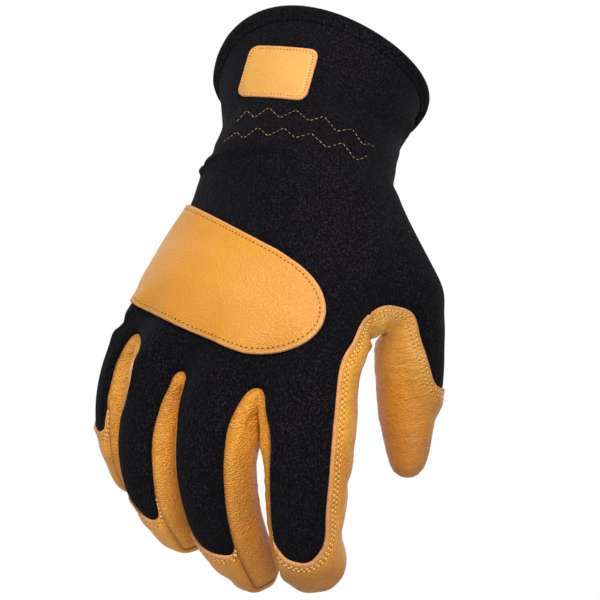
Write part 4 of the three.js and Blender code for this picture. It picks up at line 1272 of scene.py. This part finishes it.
KNIT = knit_material()
GOATSKIN = ((0.84, 0.37, 0.03), (0.7, 0.27, 0.016), (0.32, 0.095, 0.01))
LEATHER = leather_material(
    "goatskin", *GOATSKIN, grain=0.9, wrinkles=0.6, roughness=0.42, lip=0.5, rows=PALM_ROWS,
)
THUMB_LEATHER = leather_material(
    "thumb_goatskin", *GOATSKIN, grain=0.8, wrinkles=0.9, roughness=0.42, rows=THUMB_ROWS,
)
CREASED = leather_material(
    "creased_goatskin", (0.93, 0.385, 0.026), (0.78, 0.29, 0.016), (0.3, 0.085, 0.007),
    grain=1.9, wrinkles=0.7, roughness=0.4, even=0.85, fine=1.4,
)
PATCH_INSET, LABEL_INSET = 1.35, 0.9
PATCH_LEATHER = leather_material(
    "smooth_leather", (0.655, 0.27, 0.018), (0.62, 0.25, 0.015), (0.32, 0.105, 0.01),
    grain=0.6, wrinkles=0.05, roughness=0.44, lip=0.3, rows=(PATCH_INSET,), even=0.8, mottled=0.05, fine=1.3,
)
LABEL_LEATHER = leather_material(
    "label_leather", (0.7, 0.35, 0.07), (0.64, 0.3, 0.05), (0.38, 0.14, 0.03),
    grain=0.5, wrinkles=0.08, roughness=0.48, rows=(LABEL_INSET,), even=0.8,
)
CUT_EDGE = plain_material("cut_leather_edge", (0.68, 0.33, 0.13), (0.5, 0.21, 0.07), 300.0, 0.85)
SUEDE = plain_material("suede_inside", (0.5, 0.3, 0.15), (0.36, 0.2, 0.09), 90.0, 0.95)
KNIT_INSIDE = plain_material("knit_inside", (0.012, 0.011, 0.014), (0.022, 0.02, 0.026), 400.0, 0.95)
GOLD_THREAD = plain_material("gold_thread", (0.95, 0.64, 0.27), (0.8, 0.46, 0.13), 500.0, 0.4)
PATCH_THREAD = plain_material("patch_thread", (0.78, 0.4, 0.08), (0.6, 0.27, 0.04), 500.0, 0.45)
# Needle's holes: dark sunk capsules of painted shade, standing in for the shade inside each hole.
NEEDLE_HOLE_SHADE = plain_material("needle_hole_shade", (0.17, 0.072, 0.016), (0.1, 0.04, 0.01), 500.0, 0.9)
GATHER_GOLD = plain_material("gather_thread", (0.66, 0.46, 0.22), (0.3, 0.19, 0.07), 260.0, 0.55)
BLACK_THREAD = plain_material("black_thread", (0.006, 0.006, 0.007), (0.012, 0.011, 0.013), 500.0, 0.9)

FABRIC_LAYERS, SIDE_LAYERS = [KNIT, KNIT, KNIT_INSIDE], [CREASED, CUT_EDGE, SUEDE]
WALLS = table(
    "panel node piece thickness slot edge materials",
    ("knit", "back_panel", "knit_back", 1.5, "knit", SEWN_EDGE, FABRIC_LAYERS),
    ("underside", "cuff_underside", "knit_cuff_underside", 1.5, "knit", SEWN_EDGE, FABRIC_LAYERS),
    ("palm", "palm_panel", "leather_palm", 1.4, "leather", RAW_EDGE, [LEATHER, CUT_EDGE, SUEDE]),
    *[
        (name, "fourchette_" + name, "leather_side_" + name, 1.1, "leather", SEWN_EDGE, SIDE_LAYERS)
        for name in SIDE_STRIPS
    ],
    ("thumb", "thumb_panel", "leather_thumb", 1.4, "leather", RAW_EDGE, [THUMB_LEATHER, CUT_EDGE, SUEDE]),
)


def hand_in(made, node):
    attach(made, "root")
    if node:
        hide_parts(node)


# Where the leather is wrinkled: the upper thumb and the sides of the fingers near their roots.
across, up = points[:, 0], points[:, 2]
past_palm = smooth_step(12, 20, across)
upper_thumb = past_palm * smooth_step(-132, -112, up)
near_roots = smooth_step(-150, -120, up) * (1 - past_palm)
creased = 0.3 + 0.7 * np.clip(upper_thumb + near_roots, 0, 1)
# Painted shade where the leather is darker, towards the tips and in other places turned from the light, and
# painted light where it is paler, on the thumb next to its web and towards the little finger.
on_thumb = smooth_step(15, 20, across)
on_index = smooth_step(-18, -12, across) * (1 - on_thumb)
low_thumb = smooth_step(-118, -146, up)
painted_shade = 0.55 * low_thumb * on_thumb + 0.6 * smooth_step(-176, -187, up) * on_index
painted_shade += 0.3 * smooth_step(29, 39, across) * on_thumb * (1 - low_thumb)
painted_shade += 0.22 * smooth_step(-125, -105, up) * on_index
painted_shade += 0.45 * smooth_step(-140, -165, up) * bell(across + 27, 8)
pale = 0.5 * smooth_step(-122, -104, up) * on_thumb + 0.15 * smooth_step(-52, -62, across)
# What the materials read: no distance from a border counts beyond this, in millimetres.
EDGE_FAR = 8
looks = {
    # seam marks the painted shade along the sunk seams.
    "seam": bell(to_sunk, 1.1),
    "edge": np.minimum(to_lap, EDGE_FAR),
    "raw": clear_of_sunk * smooth_step(0.0, 0.5, to_thumb_seam),
    "crease": creased,
    "painted_shade": painted_shade,
    "pale": pale,
}
cloths = {}
for row in WALLS:
    own, height = triangles[panels == PANELS.index(row["panel"])], heights[row["panel"]]
    made, top, local = wall(
        row["piece"], points, normals, own, height, row["thickness"], row["edge"], row["materials"], looks
    )
    hand_in(made, row["node"])
    cloths[row["panel"]] = Cloth(top, local)

# Pieces sewn on top of the knit: a tongue over the knuckles and a small tab on the cuff.
PATCH_X, PATCH_Z, PATCH_SLOPE = -29.8, -85.3, math.radians(25.5)
PATCH_HALF_WIDTH, PATCH_WIDENING, PATCH_END = 19, 0.06, 30
PATCH_BEND_FROM, PATCH_BEND = 10, 0.11
LABEL_X, LABEL_Z, LABEL_SLOPE, LABEL_SHEAR = -17.7, 1.3, 0.15, 0.25
LABEL_HALF_WIDTH, LABEL_HALF_HEIGHT, LABEL_CORNER = 13, 10.6, 3
PATCH_MARGIN = 0.3
KNIT_SCALE = 5
SEWN_REACH, SEWN_GROOVE, SEWN_GROOVE_WIDTH = 6, 0.3, 0.6
PUFF_REACH, SEWN_CREASES = 4, 0.2


def tongue_outline(places):
    x, z = places[:, 0] - PATCH_X, places[:, 2] - PATCH_Z
    along = x * math.cos(PATCH_SLOPE) - z * math.sin(PATCH_SLOPE)
    off = x * math.sin(PATCH_SLOPE) + z * math.cos(PATCH_SLOPE)
    off = off - PATCH_BEND * np.maximum(0, along - PATCH_BEND_FROM)
    towards_end = np.maximum(0, along) * PATCH_HALF_WIDTH / PATCH_END
    return PATCH_HALF_WIDTH + PATCH_WIDENING * np.maximum(0, -along) - np.hypot(towards_end, off)


def label_outline(places):
    up = places[:, 2] - LABEL_Z + (places[:, 0] - LABEL_X) * LABEL_SLOPE
    along = places[:, 0] - LABEL_X - up * LABEL_SHEAR
    past_side = np.maximum(np.abs(along) - LABEL_HALF_WIDTH + LABEL_CORNER, 0)
    past_top = np.maximum(np.abs(up) - LABEL_HALF_HEIGHT + LABEL_CORNER, 0)
    return LABEL_CORNER - np.hypot(past_side, past_top)


def sewn_on(name, node, outline, lift, thickness, inset, puff, materials):
    """A piece cut from the knit's surface along an outline and laid on it. inset is that of its stitches."""
    field = np.minimum(outline(uncut["points"]), KNIT_SCALE * (uncut["knit"] - PATCH_MARGIN))
    near = field[uncut["triangles"]].max(1) > -SEWN_REACH
    spots, ways, faces, inside, _ = cut(
        uncut["points"], uncut["normals"], field, uncut["triangles"][near], uncut["tags"][near]
    )
    faces = faces[inside]
    tree = tree_of(spots[np.unique(border_of(faces, len(spots)))])
    used = np.unique(faces)
    rim = np.full(len(spots), float(EDGE_FAR))
    rim[used] = [tree.find(spot)[2] for spot in spots[used].tolist()]
    height = lift + thickness + puff * (1 - np.exp(-rim / PUFF_REACH))
    height -= SEWN_GROOVE * bell(rim - inset, SEWN_GROOVE_WIDTH)
    none = np.zeros(len(spots))
    values = {"crease": none + SEWN_CREASES, "painted_shade": none, "pale": none, "seam": none}
    values |= {"edge": np.minimum(rim, EDGE_FAR), "raw": none + 1}
    made, top, local = wall(name, spots, ways, faces, height, thickness, PATCH_EDGE, materials, values)
    hand_in(made, node)
    return Cloth(top, local), border_lines(border_of(local, len(top)), top, ways[used])


patch_cloth, patch_lines = sewn_on(
    "leather_knuckle_patch", "knuckle_patch", tongue_outline,
    0.2, 1.3, PATCH_INSET, 0.35, [PATCH_LEATHER, CUT_EDGE, SUEDE],
)
label_cloth, label_lines = sewn_on(
    "leather_cuff_label", "cuff_label", label_outline,
    0.1, 0.9, LABEL_INSET, 0.15, [LABEL_LEATHER, CUT_EDGE, SUEDE],
)


def closed_curve(ring, count):
    """Points on a smooth closed curve through the ring."""
    size = len(ring)
    where = np.arange(count) * size / count
    k = where.astype(int)
    t = (where - k)[:, None]
    p0, p1, p2, p3 = (ring[(k + step) % size] for step in (-1, 0, 1, 2))
    return p1 + 0.5 * t * (p2 - p0 + t * (2 * p0 - 5 * p1 + 4 * p2 - p3 + t * (3 * (p1 - p2) + p3 - p0)))


# The rolled hem, seen in section: up is a share of its height and out is in millimetres.
HEM_PROFILE = table(
    "up out",
    (-0.24, 0.05), (-0.17, 0.6), (-0.08, 0.8), (-0.01, 0.72), (0.04, 0.45), (0.1, 0.85), (0.22, 1.25),
    (0.42, 1.45), (0.62, 1.35), (0.77, 1.0), (0.86, 0.35), (0.89, -0.4), (0.88, -1.2), (0.84, -1.9),
    (0.72, -2.5), (0.5, -2.8), (0.2, -2.7), (0.0, -2.3), (-0.16, -1.4),
)
HEM_COUNT = 420
rim_curve = closed_curve(hand_rings[0], HEM_COUNT)
seam_curve = closed_curve(hand_rings[1], HEM_COUNT)
hem_rise = rim_curve - seam_curve
hem_out = unit(np.cross(np.roll(rim_curve, -1, 0) - np.roll(rim_curve, 1, 0), hem_rise))
hem_swell = 1 + 0.12 * noise_at(rim_curve, (0.09, 0.09, 0.09), 5.0)[:, None]


def hem_points(up, out):
    return seam_curve + hem_rise * up + hem_out * out * hem_swell


hem_rings = np.stack([hem_points(step["up"], step["out"]) for step in HEM_PROFILE], 1)
sides = len(HEM_PROFILE)
here = np.arange(HEM_COUNT)[:, None] * sides + np.arange(sides)
after = np.roll(here, -1, 0)
next_here, next_after = np.roll(here, -1, 1), np.roll(after, -1, 1)
hem_faces = np.concatenate([
    np.stack([here, after, next_after], 2).reshape(-1, 3),
    np.stack([here, next_after, next_here], 2).reshape(-1, 3),
])
hem = mesh_object("knit_hem", hem_rings.reshape(-1, 3), hem_faces, [KNIT], [0] * len(hem_faces))
hand_in(hem, "cuff_hem")

gold, patch_gold, hole_shades = Stitches(), Stitches(), Stitches()
for line in patch_lines:
    patch_gold.along(line, patch_cloth, PATCH_INSET, SEWING["patch"], hole_shades)
for line in label_lines:
    gold.along(line, label_cloth, LABEL_INSET, SEWING["label"], hole_shades)
for panel, rows in STITCH_ROWS.items():
    own = is_lap & (seams[:, 2] == PANELS.index(panel))
    for line in border_lines(seams[own][:, :2], points, normals):
        for row in rows:
            gold.along(line, cloths[panel], row, SEWING["lap"], hole_shades)
hand_in(gold.build("gold_stitches", GOLD_THREAD), None)
hand_in(patch_gold.build("patch_stitches", PATCH_THREAD), None)
hand_in(hole_shades.build("needle_hole_shadows", NEEDLE_HOLE_SHADE), None)

# The two zigzag rows that gather the wrist, seen from the front in millimetres.
ZIGZAGS = [
    table(
        "across up",
        (-36.3, -16.9), (-34, -18.5), (-29.8, -13.9), (-26.7, -17.3), (-21, -13.5), (-16.8, -18.1),
        (-10.6, -15), (-5.7, -19.6), (0.1, -17.7), (4.7, -23.8), (10.8, -22.7), (14.6, -28.8),
        (17.7, -28.4), (19.6, -29.6),
    ),
    table(
        "across up",
        (-38.8, -26.4), (-36.2, -24.8), (-33.5, -22.9), (-30.8, -26), (-25.1, -21.8), (-21.3, -25.6),
        (-15.2, -22.5), (-11, -26.7), (-4.9, -24.8), (0.8, -30.6), (6.9, -28.6), (11.5, -35.1),
        (13.4, -35.1), (16.4, -33.2),
    ),
]
FRONT = -200.0
GATHER_PITCH, GATHER_SHARE, GATHER_THREAD = 1.9, 0.7, 0.095
gather = Stitches()


def on_knit_front(across, up):
    hit = cloths["knit"].tree.ray_cast(Vector((across, FRONT, up)), Vector((0, 1, 0)))
    return (np.array(hit[0]), np.array(hit[1])) if hit[0] else None


for row in ZIGZAGS:
    corners = [place_of(corner, "across up") for corner in row]
    for start, end in zip(corners[:-1], corners[1:]):
        count = max(round(np.linalg.norm(end - start) / GATHER_PITCH), 1)
        spots = [on_knit_front(*(start + (end - start) * k / count)) for k in range(count + 1)]
        for first, second in zip(spots[:-1], spots[1:]):
            if first is None or second is None:
                continue
            gap = (second[0] - first[0]) * (1 - GATHER_SHARE) / 2
            gather.add(first[0] + gap, second[0] - gap, first[1], GATHER_THREAD)
hand_in(gather.build("gather_stitches", GATHER_GOLD), None)

# The hem's own seam: where its stitches lie in the hem's section, and their pitch, length and thread.
HEM_STITCH_UP, HEM_STITCH_OUT = 0.09, 0.75
HEM_PITCH, HEM_STITCH, HEM_THREAD = 2.4, 1.7, 0.13
black = Stitches()
hem_line = np.column_stack([hem_points(HEM_STITCH_UP, HEM_STITCH_OUT), hem_out])
hem_line = np.vstack([hem_line, hem_line[:1]])
where = np.arange(0, way_along(hem_line)[-1], HEM_PITCH)
for start, end in zip(rows_at(hem_line, where), rows_at(hem_line, where + HEM_STITCH)):
    black.add(start[:3], end[:3], unit(start[3:]), HEM_THREAD)
hand_in(black.build("hem_stitches", BLACK_THREAD), None)

# Studio: a white sweep, a large soft key light at the upper left and weaker fills.
scene = bpy.context.scene
scene.view_settings.view_transform = "Standard"
scene.view_settings.look = "None"
scene.world = bpy.data.worlds.new("studio")
scene.world.use_nodes = True
background = scene.world.node_tree.nodes["Background"]
background.inputs["Color"].default_value = (1, 1, 1, 1)
background.inputs["Strength"].default_value = 0.17


def sweep(depth=2.2, width=6.0, height=3.0, radius=0.6, floor=-0.3, front=-1.2, steps=12):
    profile = [(front, floor)]
    for k in range(steps + 1):
        angle = math.radians(90 * k / steps)
        profile.append((depth - radius + radius * math.sin(angle), floor + radius - radius * math.cos(angle)))
    profile.append((depth, floor + height))
    spots = [(x, y, z) for y, z in profile for x in (-width / 2, width / 2)]
    faces = [(2 * k, 2 * k + 1, 2 * k + 3, 2 * k + 2) for k in range(len(profile) - 1)]
    mesh = bpy.data.meshes.new("sweep")
    mesh.from_pydata(spots, [], faces)
    for polygon in mesh.polygons:
        polygon.use_smooth = True
    s = Shader("sweep_white")
    place = s.node("ShaderNodeSeparateXYZ", {0: s.position}).outputs
    behind = s.ramp(place[1], 0.25, 0.45)
    mesh.materials.append(
        s.finish(
            Base_Color=s.blend(behind, (0.6, 0.6, 0.6), (0, 0, 0)), Roughness=1.0, Specular_IOR_Level=0.0,
            Emission_Color=s.blend(behind, (0, 0, 0), (1, 1, 1)), Emission_Strength=1.0,
        )
    )
    made = bpy.data.objects.new("sweep", mesh)
    scene.collection.objects.link(made)
    return made


sweep()


def softbox(name, place, aim, size, power):
    data = bpy.data.lights.new(name, "AREA")
    data.shape = "RECTANGLE"
    data.size, data.size_y = size
    data.energy = power
    made = bpy.data.objects.new(name, data)
    made.location = place
    made.rotation_euler = (Vector(aim) - Vector(place)).to_track_quat("-Z", "Y").to_euler()
    scene.collection.objects.link(made)


MIDDLE = (-0.01, -0.04, -0.09)
softbox("key", (0.1, -0.95, 0.62), MIDDLE, (0.5, 0.5), 14.5)
softbox("fill", (-0.75, -0.6, 0.2), MIDDLE, (0.6, 0.8), 2.0)
softbox("top", (0.05, 0.1, 0.9), MIDDLE, (0.8, 0.5), 2.5)

CAMERA_PLACE = (-0.0091, -0.609, -0.0877)
FOCAL_PIXELS, IMAGE_PIXELS, SENSOR = 1473, 600, 36
camera_data = bpy.data.cameras.new("camera")
camera_data.sensor_width = SENSOR
camera_data.lens = FOCAL_PIXELS * SENSOR / IMAGE_PIXELS
camera = bpy.data.objects.new("camera", camera_data)
camera.location = CAMERA_PLACE
camera.rotation_euler = (math.radians(90), 0, 0)
scene.collection.objects.link(camera)
scene.camera = camera
